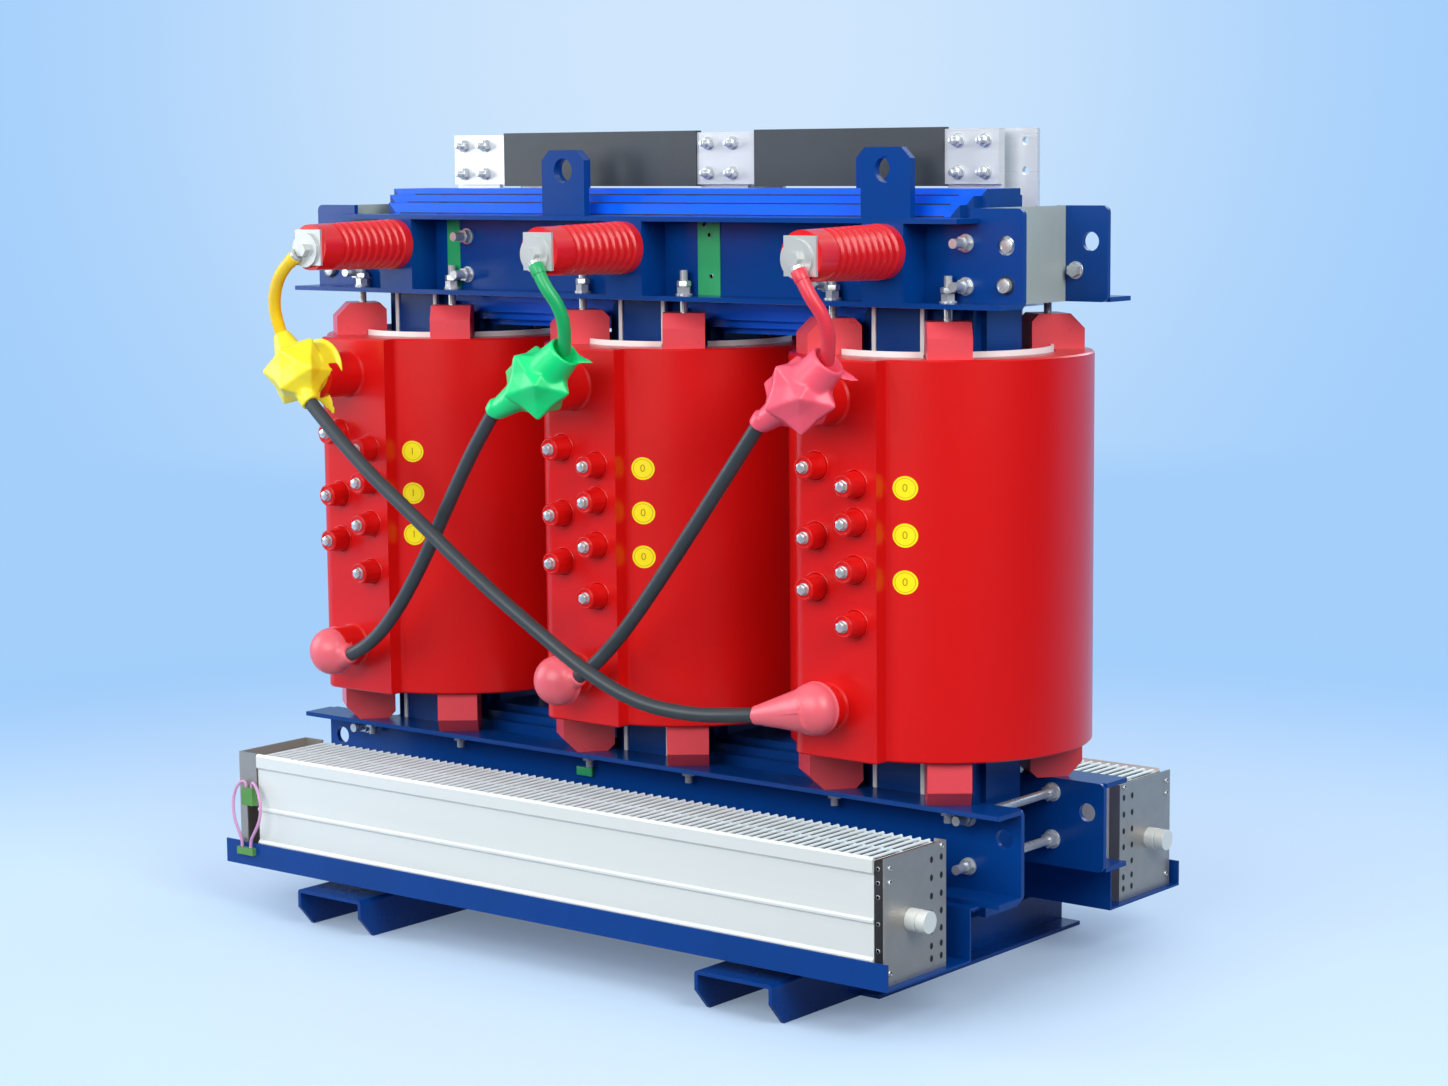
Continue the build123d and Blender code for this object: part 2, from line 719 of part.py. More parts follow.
def build_fan_ends():
    """Right end plate with its shaft cap, and the open angle frame at the left end."""
    z0 = tray_bottom + tray_plate
    y0, y1 = -fan_outer + 2, -fan_inner
    right = block(fan_end_right - fan_plate, fan_end_right, y0, y1, z0, fan_top)
    turn = Rot(0, 90, 0)
    y_cap, z_cap = (y0 + y1) / 2 - 12, (z0 + fan_top) / 2 - 6
    right += Pos(fan_end_right + cap_length / 4, y_cap, z_cap) * turn * Cylinder(cap_radius, cap_length / 2)
    right += Pos(fan_end_right + cap_length * 0.75, y_cap, z_cap) * turn * Cylinder(cap_radius - 2, cap_length / 2)
    right += block(fan_right, fan_end_right, y1 - fan_plate, y1, z0, fan_top)
    right += block(fan_right, fan_end_right, y0 + 10, y0 + 30, z0, z0 + 20)
    left = block(fan_end_left, fan_end_left + fan_plate, y0, y1, z0, fan_top)
    left += block(fan_end_left, fan_end_left + fan_flange_width, y0, y0 + fan_plate, z0, fan_top)
    left += block(fan_end_left, fan_end_left + fan_bracket_width, y0, y0 + fan_plate,
                  fan_bracket_bottom, fan_top)
    left += block(fan_end_left, fan_left, y1 - fan_plate, y1, z0, fan_top)
    left += block(fan_end_left, fan_left, y0 + 10, y0 + 30, z0, z0 + 20)
    return [right, left]


def build_wire_holders():
    """The terminal block on the fan's left end bracket and the cable clip on the tray's lip."""
    bracket = -fan_outer + 2
    holder = block(wire_block_left, wire_block_right, bracket - wire_block_depth, bracket,
                   wire_block_bottom, wire_block_top)
    clip = block(clip_left, clip_right, -tray_outer - clip_depth, -tray_outer, clip_bottom, clip_top)
    return [holder, clip]


# Low-voltage bars on the rear side

def riser_edges(name):
    centre = coil_places[name] + riser_offsets[name]
    return centre - riser_width / 2, centre + riser_width / 2


def build_neutral_bar():
    x0, x1 = riser_edges("left")[0], riser_edges("right")[1]
    return block(x0, x1, neutral_y - bar_plate, neutral_y, bar_top - bar_height, bar_top)


def build_sleeves():
    """Black insulation over the star bar between its joints."""
    w = sleeve_wall
    z0, z1 = bar_top - bar_height, bar_top
    sleeves = []
    for before, after in (("left", "middle"), ("middle", "right")):
        x0 = riser_edges(before)[1] + sleeve_start_gap
        x1 = riser_edges(after)[0] - sleeve_end_gap
        outer = block(x0, x1, neutral_y - bar_plate - w, neutral_y + w, z0 - w, z1 + w)
        sleeves.append(outer - block(x0 - 1, x1 + 1, neutral_y - bar_plate, neutral_y, z0, z1))
    return sleeves


def lv_bar(x, centre, width, foot, foot_y, top_y):
    """A flat bar that rises from the low-voltage coil, steps out under the clamp and widens."""
    t = bar_plate
    step_top = upper_clamp_bottom - bar_step_gap
    x0, x1 = x + centre - width / 2, x + centre + width / 2
    f0, f1 = x + foot[0], x + foot[1]
    bar = block(f0, f1, foot_y, foot_y + t, coil_top, step_top)
    bar += block(f0, f1, foot_y, top_y + t, step_top - t, step_top)
    bar += block(min(f0, x0), max(f1, x1), top_y, top_y + t, step_top - t, bar_shoulder)
    bar += block(x0, x1, top_y, top_y + t, bar_shoulder, bar_top)
    return bar


def build_risers():
    return [lv_bar(x, riser_offsets[name], riser_width, riser_foot, riser_foot_y, neutral_y)
            for name, x in coil_places.items()]


def build_terminal(x):
    bar = lv_bar(x, terminal_x, terminal_width, terminal_foot, terminal_foot_y, terminal_y)
    half = terminal_hole_pitch / 2
    for sx in (-1, 1):
        for z in (bar_top - bar_height / 2 - half, bar_top - bar_height / 2 + half):
            bar = bar - rod_y(x + terminal_x + sx * half, z, terminal_y - 1,
                              terminal_y + bar_plate + 1, terminal_hole_radius)
    return bar


# Boots, cables and leads

def towards(a, b):
    return (Vector(*b) - Vector(*a)).normalized()


def spout(mouth, direction, length, mouth_radius, root_radius):
    """A cone whose small end is at the mouth, and whose axis follows the cable into the boot."""
    plane = Plane(Vector(*mouth) + direction * (length / 2), z_dir=direction)
    return plane * Cone(mouth_radius, root_radius, length)


def boot_drum(x, z, y0, y1, radius, edge_round):
    drum = rod_y(x, z, y0, y1, radius)
    front = drum.faces().sort_by(Axis.Y)[0]
    return fillet(front.edges(), edge_round)


def terminal_boss(x, boss, slack):
    height, radius, length = boss
    return rod_y(x + terminal_boss_x, coil_bottom + height, -panel_front + 1,
                 -panel_front - length - slack, radius + slack)


def build_upper_boot(name):
    x = coil_places[name]
    dx, dz = upper_boot_offsets[name]
    centre_x = x + terminal_boss_x + dx
    centre_z = coil_bottom + upper_boss_height + dz
    boot = boot_drum(centre_x, centre_z, -panel_front - upper_boot_back,
                     -panel_front - upper_boot_front, upper_boot_radius, upper_boot_round)
    cable = delta_cable_routes[name]
    boot += spout(cable[0], towards(cable[1], cable[0]), spout_length, spout_mouth_radius,
                  spout_root_radius)
    lead = lead_route(name)
    boot += spout(lead[-1], towards(lead[-2], lead[-1]), nipple_length, lead_radius + nipple_wall,
                  nipple_root_radius)
    return boot - terminal_boss(x, terminal_bosses[1], boot_clearance)


cable_ends = {"left": "middle", "middle": "right", "right": "left"}


def build_lower_boot(name):
    """The boot at a coil's lower terminal, with a spout for the cable that ends there."""
    x = coil_places[name]
    dx, dz = lower_boot_offsets[name]
    drum_x = x + terminal_boss_x + dx
    drum_z = coil_bottom + lower_boss_height + dz
    boot = boot_drum(drum_x, drum_z, -panel_front - lower_boot_back,
                     -panel_front - lower_boot_front, lower_boot_radius, lower_boot_round)
    cable = delta_cable_routes[cable_ends[name]]
    mouth, before = cable[-1], cable[-2]
    reach = hypot(drum_x - mouth[0], drum_z - mouth[2])
    boot += spout(mouth, towards(before, mouth), reach, spout_mouth_radius,
                  lower_boot_radius - lower_spout_taper)
    return boot - terminal_boss(x, terminal_bosses[0], boot_clearance)


def lead_route(name):
    first, rest = lead_routes[name][0], lead_routes[name][1:]
    return [lug_barrel_tip(name), (first[0], lug_barrel_y(), first[2])] + rest


def flexible_run(name, points, radius):
    """Straight runs joined by tangent arcs, each arc as large as its shorter run allows."""
    corners = [Vector(*p) for p in points]
    radii = []
    for a, b, c in zip(corners, corners[1:], corners[2:]):
        turn = (b - a).get_angle(c - b)
        shorter = min((b - a).length, (c - b).length)
        radii.append(0.45 * shorter / tan(radians(turn / 2)))
    path = FilletPolyline(*corners, radius=radii)
    print(name, "length", round(path.length, 1), "radii", [round(r) for r in radii])
    start = Plane(corners[0], z_dir=corners[1] - corners[0])
    return sweep(start * Circle(radius), path=path)


def build_strips():
    """Green insulating strips that stand on the front clamp's web, between its flanges."""
    z0 = upper_clamp_bottom + clamp_flange_plate
    z1 = upper_flange_top - clamp_flange_plate
    return [block(x - w / 2, x + w / 2, -web_outer, -web_outer - strip_plate, z0, z1)
            for x, w in zip(strip_places, strip_widths)]


limbs, yokes = build_core()
for name, limb in limbs.items():
    save(f"limb_{name}", limb)
for name, yoke in yokes.items():
    save(f"{name}_yoke", yoke)

for name, x in coil_places.items():
    save(f"hv_coil_{name}", build_hv_coil(x))
    save(f"lv_coil_{name}", build_lv_coil(x))
    save(f"coil_blocks_{name}", Compound(children=build_blocks(x)))
    save(f"post_insulator_{name}", build_insulator(x + insulator_x))
    save(f"lv_terminal_{name}", build_terminal(x))
save("barrier_rings", Compound(children=[build_barrier(x) for x in coil_places.values()]))
save("insulator_terminals",
     Compound(children=[build_tip_terminal(name) for name in coil_places]))

save("upper_clamp_front", build_upper_clamp(front_lug_places))
save("upper_clamp_rear", to_rear(build_upper_clamp(rear_lug_places)))
save("upper_flanges_front", build_upper_flanges(True))
save("upper_flanges_rear", to_rear(build_upper_flanges(False)))
lower_clamp = build_lower_clamp()
save("lower_clamp_front", lower_clamp)
save("lower_clamp_rear", to_rear(lower_clamp))
save("clamp_studs_upper", Compound(children=build_studs(True)))
save("clamp_studs_lower", Compound(children=build_studs(False)))
save("tie_bolts_upper", Compound(children=[tie_rod(x, z) for x, z in upper_tie_places]))
save("tie_rods_lower", Compound(children=[tie_rod(x, z) for x, z in lower_tie_places]))
save("yoke_end_plates", Compound(children=[
    block(side * end_plate_x, side * (end_plate_x - end_plate), -web_inner, web_inner,
          upper_clamp_bottom, upper_clamp_tab_top) for side in (-1, 1)]))

base = build_base_beam()
save("base_beam_right", base)
save("base_beam_left", to_left(base))

fan_nodes = {"fan_tray": build_tray(), "fan_housing": build_fan_housing(),
             "fan_guard": build_fan_guard(), "fan_ends": Compound(children=build_fan_ends())}
for name, shape in fan_nodes.items():
    save(f"{name}_front", shape)
    save(f"{name}_rear", to_rear(shape))

save("neutral_bar", build_neutral_bar())
save("neutral_bar_sleeves", Compound(children=build_sleeves()))
save("neutral_risers", Compound(children=build_risers()))

save("insulating_strips", Compound(children=build_strips()))
for name in coil_places:
    save(f"terminal_boot_{name}", build_upper_boot(name))
    save(f"delta_cable_{name}", flexible_run(f"delta_cable_{name}", delta_cable_routes[name],
                                             cable_radius))
    save(f"lead_{name}", flexible_run(f"lead_{name}", lead_route(name), lead_radius))
for side, route in fan_wire_routes.items():
    save(f"fan_wire_{side}", flexible_run(f"fan_wire_{side}", route, wire_radius))
save("fan_wire_holders", Compound(children=build_wire_holders()))
save("lower_boots", Compound(children=[build_lower_boot(name) for name in coil_places]))
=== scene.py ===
# %% [markdown]
# A dry-type power transformer stands on two folded beams: three red resin coils on a blue
# laminated core, ribbed insulators, soft coloured boots and black cables. The model's rigid
# pieces come packed in one fixed frame. This lesson gives each of them its finish, and models
# by hand the soft boots, the cables, the small fasteners and the fans' guards around them.

# %% The frame
from math import atan2, cos, pi, radians, sin
import bpy
from mathutils import Matrix, Vector


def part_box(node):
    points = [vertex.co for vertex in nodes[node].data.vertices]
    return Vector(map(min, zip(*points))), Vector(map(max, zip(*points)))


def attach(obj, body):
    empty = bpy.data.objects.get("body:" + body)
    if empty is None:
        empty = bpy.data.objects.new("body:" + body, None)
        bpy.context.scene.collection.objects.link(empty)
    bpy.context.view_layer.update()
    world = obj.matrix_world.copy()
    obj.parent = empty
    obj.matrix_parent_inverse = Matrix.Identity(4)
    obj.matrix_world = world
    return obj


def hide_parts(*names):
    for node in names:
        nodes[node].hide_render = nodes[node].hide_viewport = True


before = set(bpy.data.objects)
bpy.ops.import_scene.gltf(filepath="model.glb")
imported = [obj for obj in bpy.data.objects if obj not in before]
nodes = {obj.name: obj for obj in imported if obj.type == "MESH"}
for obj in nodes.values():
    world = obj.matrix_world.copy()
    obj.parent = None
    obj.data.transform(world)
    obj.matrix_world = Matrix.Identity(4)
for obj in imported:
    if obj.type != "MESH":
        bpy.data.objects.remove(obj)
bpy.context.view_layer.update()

# %% [markdown]
# The camera is the photographer's: a little above the coils, in front of the right-hand end,
# with a long lens. Its turn, tilt and place were worked out from corners of the beams, clamps,
# core and fans, so a piece at its real place falls where the photograph shows it.

# %% The camera
camera_turn, camera_tilt, camera_roll = (radians(v) for v in (38.7829, 7.2438, -0.5034))
camera_place = Vector((3.06639, -3.72761, 1.22427))
photo_width = 1448
focal_pixels = 3068.17
sensor = 36.0

look = Vector((-sin(camera_turn) * cos(camera_tilt), cos(camera_turn) * cos(camera_tilt),
               -sin(camera_tilt)))
level = Vector((cos(camera_turn), sin(camera_turn), 0.0))
upright = level.cross(look)
right = level * cos(camera_roll) + upright * sin(camera_roll)
up = upright * cos(camera_roll) - level * sin(camera_roll)
lens = bpy.data.cameras.new("photographer")
lens.lens = focal_pixels * sensor / photo_width
lens.sensor_width = sensor
lens.clip_end = 60.0
camera = bpy.data.objects.new("photographer", lens)
bpy.context.scene.collection.objects.link(camera)
turned = Matrix((right, up, -look)).transposed().to_4x4()
turned.translation = camera_place
camera.matrix_world = turned
bpy.context.scene.camera = camera
print("lens", round(lens.lens, 1), "mm")

# %% [markdown]
# Most sizes here are real ones in millimetres, while Blender works in metres, so one small
# function turns a point. Another reads a coil's middle from the frame, because nearly
# everything is placed from a coil's own axis.

# %% Millimetres and coil places
phases = ("left", "middle", "right")


def metres(*values):
    return Vector(v / 1000 for v in values)


def middle_of(node, axis):
    low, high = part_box(node)
    return (low[axis] + high[axis]) / 2 * 1000


coil_x = {name: middle_of(f"limb_{name}", 0) for name in phases}
coil_low, coil_high = (corner[2] * 1000 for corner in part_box("lv_coil_middle"))
print("coil axes", {name: round(x) for name, x in coil_x.items()})
print("coil height", round(coil_high - coil_low))

# %% [markdown]
# The cables come first. Each high-voltage coil is joined to the next by a black rubber-sheathed
# cable that leaves a boot at the top, hangs across the coils in a slack curve and ends in a boot
# at the bottom. A cable is a NURBS curve led by a few listed points, because such a curve bends
# evenly, as a stiff round cable does, and its round section is one bevel setting.

# %% Cable routes
cable_radius, lead_radius, wire_radius = 11.0, 10.0, 2.5
lead_start_y = -376.16
cable_routes = {
    "left": [(-490, -346, 836), (-398, -350, 758), (-261, -352, 671), (-137, -352, 588),
             (-14, -350, 516), (80, -344, 460), (171, -332, 420), (255, -312, 409),
             (325, -294, 413), (361, -292, 417)],
    "middle": [(-94, -346, 839), (-140, -338, 789), (-213, -322, 695), (-285, -308, 595),
               (-344, -300, 522), (-383, -297, 481), (-415, -295, 455), (-442, -294, 438),
               (-468, -293, 427)],
    "right": [(413, -346, 844), (360, -338, 783), (270, -320, 684), (185, -304, 592),
              (121, -298, 521), (80, -294, 483), (48, -291, 457), (18, -288, 439)],
}
lead_routes = {
    "left": [(-493.9, lead_start_y, 1062.9), (-515, lead_start_y, 1048), (-541, -366, 1023),
             (-557, -357, 997), (-565, -346, 968), (-562, -337, 940)],
    "middle": [(27.8, lead_start_y, 1054.6), (40, lead_start_y, 1033), (54, -364, 1007),
               (57, -354, 980), (50, -344, 956), (40, -335, 933)],
    "right": [(512.7, lead_start_y, 1054.6), (526, lead_start_y, 1031), (539, -364, 1005),
              (542, -354, 980), (536, -344, 957), (526, -335, 936)],
}
wire_routes = {
    "left": [(-621, -388, 205.3), (-621, -388, 216), (-632, -391, 214), (-639, -396, 201),
             (-641, -400, 178), (-636, -402, 154), (-627, -400, 132), (-624, -397, 120),
             (-624, -397, 108.3)],
    "right": [(-608, -388, 205.3), (-608, -388, 216), (-595, -391, 212), (-582, -396, 197),
              (-574, -400, 177), (-577, -402, 154), (-591, -401, 134), (-604, -397, 120),
              (-604, -397, 108.3)],
}


# %% [markdown]
# The spline's order is set after its points are in place: set earlier it would stay at two,
# which is straight runs. The thickness sits on the points, each with the cord's own radius, so
# that the curve's box is its true one.

# %% Laying the cords
def lay_cord(name, route, radius):
    line = bpy.data.curves.new(name, "CURVE")
    line.dimensions = "3D"
    spline = line.splines.new("NURBS")
    spline.points.add(len(route) - 1)
    for point, place in zip(spline.points, route):
        point.co = (*metres(*place), 1.0)
        point.radius = radius / 1000
    spline.order_u = 3
    spline.use_endpoint_u = True
    line.resolution_u = 12
    line.bevel_depth = 1.0
    line.bevel_resolution = 8
    line.use_fill_caps = True
    cord = bpy.data.objects.new(name + "_cord", line)
    bpy.context.scene.collection.objects.link(cord)
    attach(cord, "root")
    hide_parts(name)
    return cord


cords = {}
for name in phases:
    cords[f"delta_cable_{name}"] = lay_cord(f"delta_cable_{name}", cable_routes[name], cable_radius)
for name in phases:
    cords[f"lead_{name}"] = lay_cord(f"lead_{name}", lead_routes[name], lead_radius)
for name, route in wire_routes.items():
    cords[f"fan_wire_{name}"] = lay_cord(f"fan_wire_{name}", route, wire_radius)
print(len(cords), "cords laid")


# %% [markdown]
# Every finish is a small node tree. One helper adds any node with its settings and links, and
# one more turns a hex colour, as a paint chart gives it, into the linear numbers that the
# shader wants.

# %% Node helpers
def linear(chart):
    parts = [int(chart[i:i + 2], 16) / 255 for i in (1, 3, 5)]
    return tuple(((c + 0.055) / 1.055) ** 2.4 if c > 0.04045 else c / 12.92 for c in parts) + (1.0,)


def add_node(tree, kind, links=None, inputs=None, **settings):
    node = tree.nodes.new(kind)
    for key, value in settings.items():
        setattr(node, key, value)
    for key, value in (inputs or {}).items():
        node.inputs[key].default_value = value
    for key, source in (links or {}).items():
        tree.links.new(source, node.inputs[key])
    return node


def per_size(millimetres):
    """A pattern's scale setting for features of this real size."""
    return 1000.0 / millimetres


# %% [markdown]
# Nearly all finishes share three things that the eye reads at once: a slight unevenness of
# colour over some centimetres, a gloss that is not the same everywhere, and a fine surface
# relief such as orange peel in paint or grain in a casting. This function lays those three,
# each at its real size in millimetres, and a finish with more to it adds its own nodes.

# %% The common finish
def lay_finish(name, colour, second, roughness, gloss_change=0.06, cloud_mm=70.0, relief_mm=3.0,
               relief=0.1, stretch=(1.0, 1.0, 1.0), metallic=0.0, coat=0.0, ior=None):
    material = bpy.data.materials.new(name)
    material.use_nodes = True
    tree = material.node_tree
    shader = tree.nodes["Principled BSDF"]
    shader.inputs["Metallic"].default_value = metallic
    shader.inputs["Coat Weight"].default_value = coat
    shader.inputs["Coat Roughness"].default_value = 0.08
    if ior is not None:
        shader.inputs["IOR"].default_value = ior
    place = add_node(tree, "ShaderNodeTexCoord")
    stretched = add_node(tree, "ShaderNodeMapping", {"Vector": place.outputs["Object"]},
                         {"Scale": stretch})
    cloud = add_node(tree, "ShaderNodeTexNoise", {"Vector": stretched.outputs["Vector"]},
                     {"Scale": per_size(cloud_mm), "Detail": 4.0, "Roughness": 0.6})
    tint = add_node(tree, "ShaderNodeMix", {"Factor": cloud.outputs["Fac"]}, data_type="RGBA")
    tint.inputs["A"].default_value = linear(colour)
    tint.inputs["B"].default_value = linear(second)
    tree.links.new(tint.outputs["Result"], shader.inputs["Base Color"])
    gloss = add_node(tree, "ShaderNodeMapRange", {"Value": cloud.outputs["Fac"]},
                     {"To Min": roughness - gloss_change, "To Max": roughness + gloss_change})
    tree.links.new(gloss.outputs["Result"], shader.inputs["Roughness"])
    grain = add_node(tree, "ShaderNodeTexNoise", {"Vector": stretched.outputs["Vector"]},
                     {"Scale": per_size(relief_mm), "Detail": 2.0})
    bump = add_node(tree, "ShaderNodeBump", {"Height": grain.outputs["Fac"]},
                    {"Strength": relief, "Distance": relief_mm / 6000})
    tree.links.new(bump.outputs["Normal"], shader.inputs["Normal"])
    return material, tree, shader, place, bump


# %% [markdown]
# Epoxy resin cast in a polished steel mould is glossy, deep red and very slightly wavy. The
# insulators are the same resin in a lighter, glossier batch, and the support blocks a paler,
# dustier one, which shows as smaller clouds and no clear coat. The inner windings are only
# soaked in resin, which leaves them brown and dull.

# %% Resin
resin_red = lay_finish("cast_epoxy_resin_red", "#DA100F", "#D00C0B", 0.3, 0.05, 120, 28, 0.05,
                       coat=0.1, ior=1.46)[0]
insulator_red = lay_finish("cast_epoxy_insulator_red", "#E42229", "#D61B20", 0.24, 0.05, 60, 14,
                           0.05, coat=0.15, ior=1.5)[0]
block_salmon = lay_finish("cast_epoxy_block_salmon", "#EA505A", "#DE464E", 0.3, 0.08, 30, 5, 0.12,
                          ior=1.5)[0]
winding_resin = lay_finish("impregnated_winding", "#8E2A22", "#6E1E1A", 0.5, 0.08, 25, 3, 0.3)[0]
print(len(bpy.data.materials), "materials so far")

# %% [markdown]
# The clamps, trays and beams are folded steel under a navy enamel: gloss with a faint orange
# peel about three millimetres across. The enamel on the core is the same batch, but on the
# upper yoke it is a brighter blue and lies on stacked sheets, whose edges leave it uneven in
# lines along the yoke. The sheets are 0.3 mm thick, too fine to show, so the lines are drawn as
# soft ripples 44 mm apart.

# %% Enamel and the laminated yoke
navy_enamel = lay_finish("navy_enamel", "#02408F", "#02387E", 0.24, 0.06, 90, 3, 0.1, ior=1.36)[0]
core_enamel = lay_finish("core_navy_enamel", "#044292", "#04387C", 0.32, 0.08, 60, 4, 0.2,
                         ior=1.38)[0]
beam_enamel = lay_finish("beam_navy_enamel", "#023C8A", "#023274", 0.28, 0.07, 80, 3, 0.12,
                         ior=1.38)[0]


def laminated_enamel():
    ripple_mm = 43.98
    wave_radians = 20.0  # how far a wave texture turns over one unit at a scale of one
    material, tree, shader, place, bump = lay_finish(
        "laminated_yoke_enamel", "#0568F4", "#055CE2", 0.36, 0.06, 80, 4, 0.15, ior=1.36)
    sheets = add_node(tree, "ShaderNodeTexWave", {"Vector": place.outputs["Object"]},
                      {"Scale": per_size(ripple_mm) * 2 * pi / wave_radians,
                       "Distortion": 1.2, "Detail": 1.0}, bands_direction="Z")
    lines = add_node(tree, "ShaderNodeBump", {"Height": sheets.outputs["Fac"],
                                              "Normal": bump.outputs["Normal"]},
                     {"Strength": 0.35, "Distance": 0.0012})
    tree.links.new(lines.outputs["Normal"], shader.inputs["Normal"])
    return material


yoke_enamel = laminated_enamel()
print(len(bpy.data.materials), "materials so far")

# %% [markdown]
# Bare metals: the low-voltage bars are rolled aluminium with a brushed grain, which is a noise
# drawn out sideways to long streaks. The fan housings are extruded and anodised, nearly white
# and satin. The end plates are galvanised sheet with its frosty crystals, and the fasteners are
# zinc plated, bright with a bluish cast.

# %% Metals
bar_aluminium = lay_finish("brushed_bar_aluminium", "#E6E9EA", "#D4D9DB", 0.3, 0.08, 50, 6, 0.12,
                           stretch=(0.15, 1.0, 6.0), metallic=0.35)[0]
tinned_lug = lay_finish("tinned_lug", "#D2D5D3", "#C8CCCA", 0.32, 0.04, 25, 4, 0.05,
                        metallic=0.45)[0]
fan_aluminium = lay_finish("anodised_fan_aluminium", "#E9ECE8", "#DDE2DE", 0.36, 0.06, 90, 5, 0.08,
                           stretch=(0.1, 1.0, 1.0), metallic=0.15)[0]
zinc_plate = lay_finish("bright_zinc_plate", "#DCDFE0", "#C4CACE", 0.25, 0.08, 14, 2, 0.15,
                        metallic=0.6)[0]
grey_primer = lay_finish("grey_primed_plate", "#BCC8C1", "#AEBBB4", 0.45, 0.06, 60, 3, 0.12,
                         metallic=0.2)[0]


def galvanised_sheet():
    crystal_mm = 14.0
    material, tree, shader, place, _ = lay_finish(
        "galvanised_sheet", "#BAB5AE", "#ABA6A0", 0.3, 0.06, 40, 3, 0.08, metallic=0.75)
    crystals = add_node(tree, "ShaderNodeTexVoronoi", {"Vector": place.outputs["Object"]},
                        {"Scale": per_size(crystal_mm)})
    frost = add_node(tree, "ShaderNodeMapRange", {"Value": crystals.outputs["Distance"]},
                     {"From Max": 0.8, "To Min": 0.26, "To Max": 0.44})
    tree.links.new(frost.outputs["Result"], shader.inputs["Roughness"])
    return material


galvanised = galvanised_sheet()
print(len(bpy.data.materials), "materials so far")

# %% [markdown]
# Plastics and rubber: the boots and the leads are soft PVC, bright, a little translucent and
# satin, the bar's sleeve is black shrink tube, the cables have a rubber sheath with a slate
# sheen, and the barriers and strips are glass-filled laminate.

# %% Plastics and rubber
def soft_pvc(name, colour, second):
    material, _, shader, _, _ = lay_finish(name, colour, second, 0.36, 0.07, 25, 4, 0.1, ior=1.53)
    shader.inputs["Subsurface Weight"].default_value = 0.12
    shader.inputs["Subsurface Scale"].default_value = 0.004
    return material


boot_finishes = {"left": soft_pvc("soft_pvc_yellow", "#FFEE30", "#FCE624"),
                 "middle": soft_pvc("soft_pvc_green", "#08E284", "#02D476"),
                 "right": soft_pvc("soft_pvc_pink", "#FA6078", "#F2546A")}
lead_finishes = {"left": soft_pvc("sleeving_yellow", "#FFD818", "#F8C80C"),
                 "middle": soft_pvc("sleeving_green", "#12B468", "#0AA25A"),
                 "right": soft_pvc("sleeving_red", "#E83C4E", "#DA3242")}
lower_boot_pvc = soft_pvc("soft_pvc_salmon", "#F06C78", "#E6606C")
wire_pvc = soft_pvc("wire_pvc_lilac", "#D2A2C8", "#C48AB8")
sleeve_black = lay_finish("shrink_sleeve_black", "#3E4449", "#33383C", 0.42, 0.06, 60, 5, 0.15)[0]
cable_rubber = lay_finish("rubber_sheath_slate", "#3A4247", "#2E3539", 0.42, 0.06, 40, 3, 0.12)[0]
barrier_white = lay_finish("laminate_white", "#FAFAF8", "#F0F0EC", 0.42, 0.06, 40, 3, 0.1)[0]
strip_green = lay_finish("glass_laminate_green", "#2EAE6E", "#249A5E", 0.4, 0.06, 30, 2, 0.12)[0]
sticker_yellow = lay_finish("label_film_yellow", "#FFF000", "#FFE900", 0.35, 0.04, 20, 4, 0.04)[0]
sticker_ink = lay_finish("label_ink_ochre", "#C79A00", "#B88C00", 0.45, 0.04, 10, 3, 0.04)[0]
guard_enamel = lay_finish("guard_white_enamel", "#E8F8FC", "#DCECF0", 0.32, 0.05, 20, 2, 0.06)[0]
# This near-black finish is painted shade for holes, gaps, the fans' insides and the packets' feet,
# and the real black of the cracked mitre joints.
painted_shade_and_joint_dark = lay_finish("dark_inside", "#1A1E22", "#121518", 0.6, 0.05, 30, 3, 0.1)[0]
block_green = lay_finish("terminal_block_green", "#5E9A4C", "#4C8640", 0.42, 0.05, 8, 2, 0.1)[0]
print(len(bpy.data.materials), "materials so far")

# %% [markdown]
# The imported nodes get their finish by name. A node's mesh is never touched: its material slots
# are simply filled.

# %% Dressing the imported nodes
node_finishes = {
    "limb_": core_enamel, "lower_yoke": core_enamel, "upper_yoke": yoke_enamel,
    "hv_coil_": resin_red, "lv_coil_": winding_resin, "coil_blocks_": block_salmon,
    "post_insulator_": insulator_red, "upper_clamp_": navy_enamel, "upper_flanges_": navy_enamel,
    "lower_clamp_": navy_enamel, "base_beam_": beam_enamel, "fan_tray_": navy_enamel,
    "barrier_rings": barrier_white, "yoke_end_plates": grey_primer, "fan_ends_": galvanised,
    "fan_housing_": fan_aluminium, "fan_guard_": guard_enamel, "neutral_bar_sleeves": sleeve_black,
    "neutral_bar": bar_aluminium, "neutral_risers": bar_aluminium, "lv_terminal_": bar_aluminium,
    "clamp_studs_": zinc_plate, "tie_bolts_": zinc_plate, "tie_rods_": zinc_plate,
    "insulator_terminals": tinned_lug, "insulating_strips": strip_green,
    "terminal_boot_left": boot_finishes["left"], "terminal_boot_middle": boot_finishes["middle"],
    "terminal_boot_right": boot_finishes["right"], "lower_boots": lower_boot_pvc,
    "lead_left": lead_finishes["left"], "lead_middle": lead_finishes["middle"],
    "lead_right": lead_finishes["right"], "delta_cable_": cable_rubber, "fan_wire_h": block_green,
    "fan_wire_": wire_pvc,
}


def finish_for(name):
    return next(finish for start, finish in node_finishes.items() if name.startswith(start))


for name, node in nodes.items():
    for holder in node.material_slots:
        holder.material = finish_for(name)
for name, cord in cords.items():
    cord.data.materials.append(finish_for(name))
print("finishes for", len(nodes), "nodes and", len(cords), "cords")


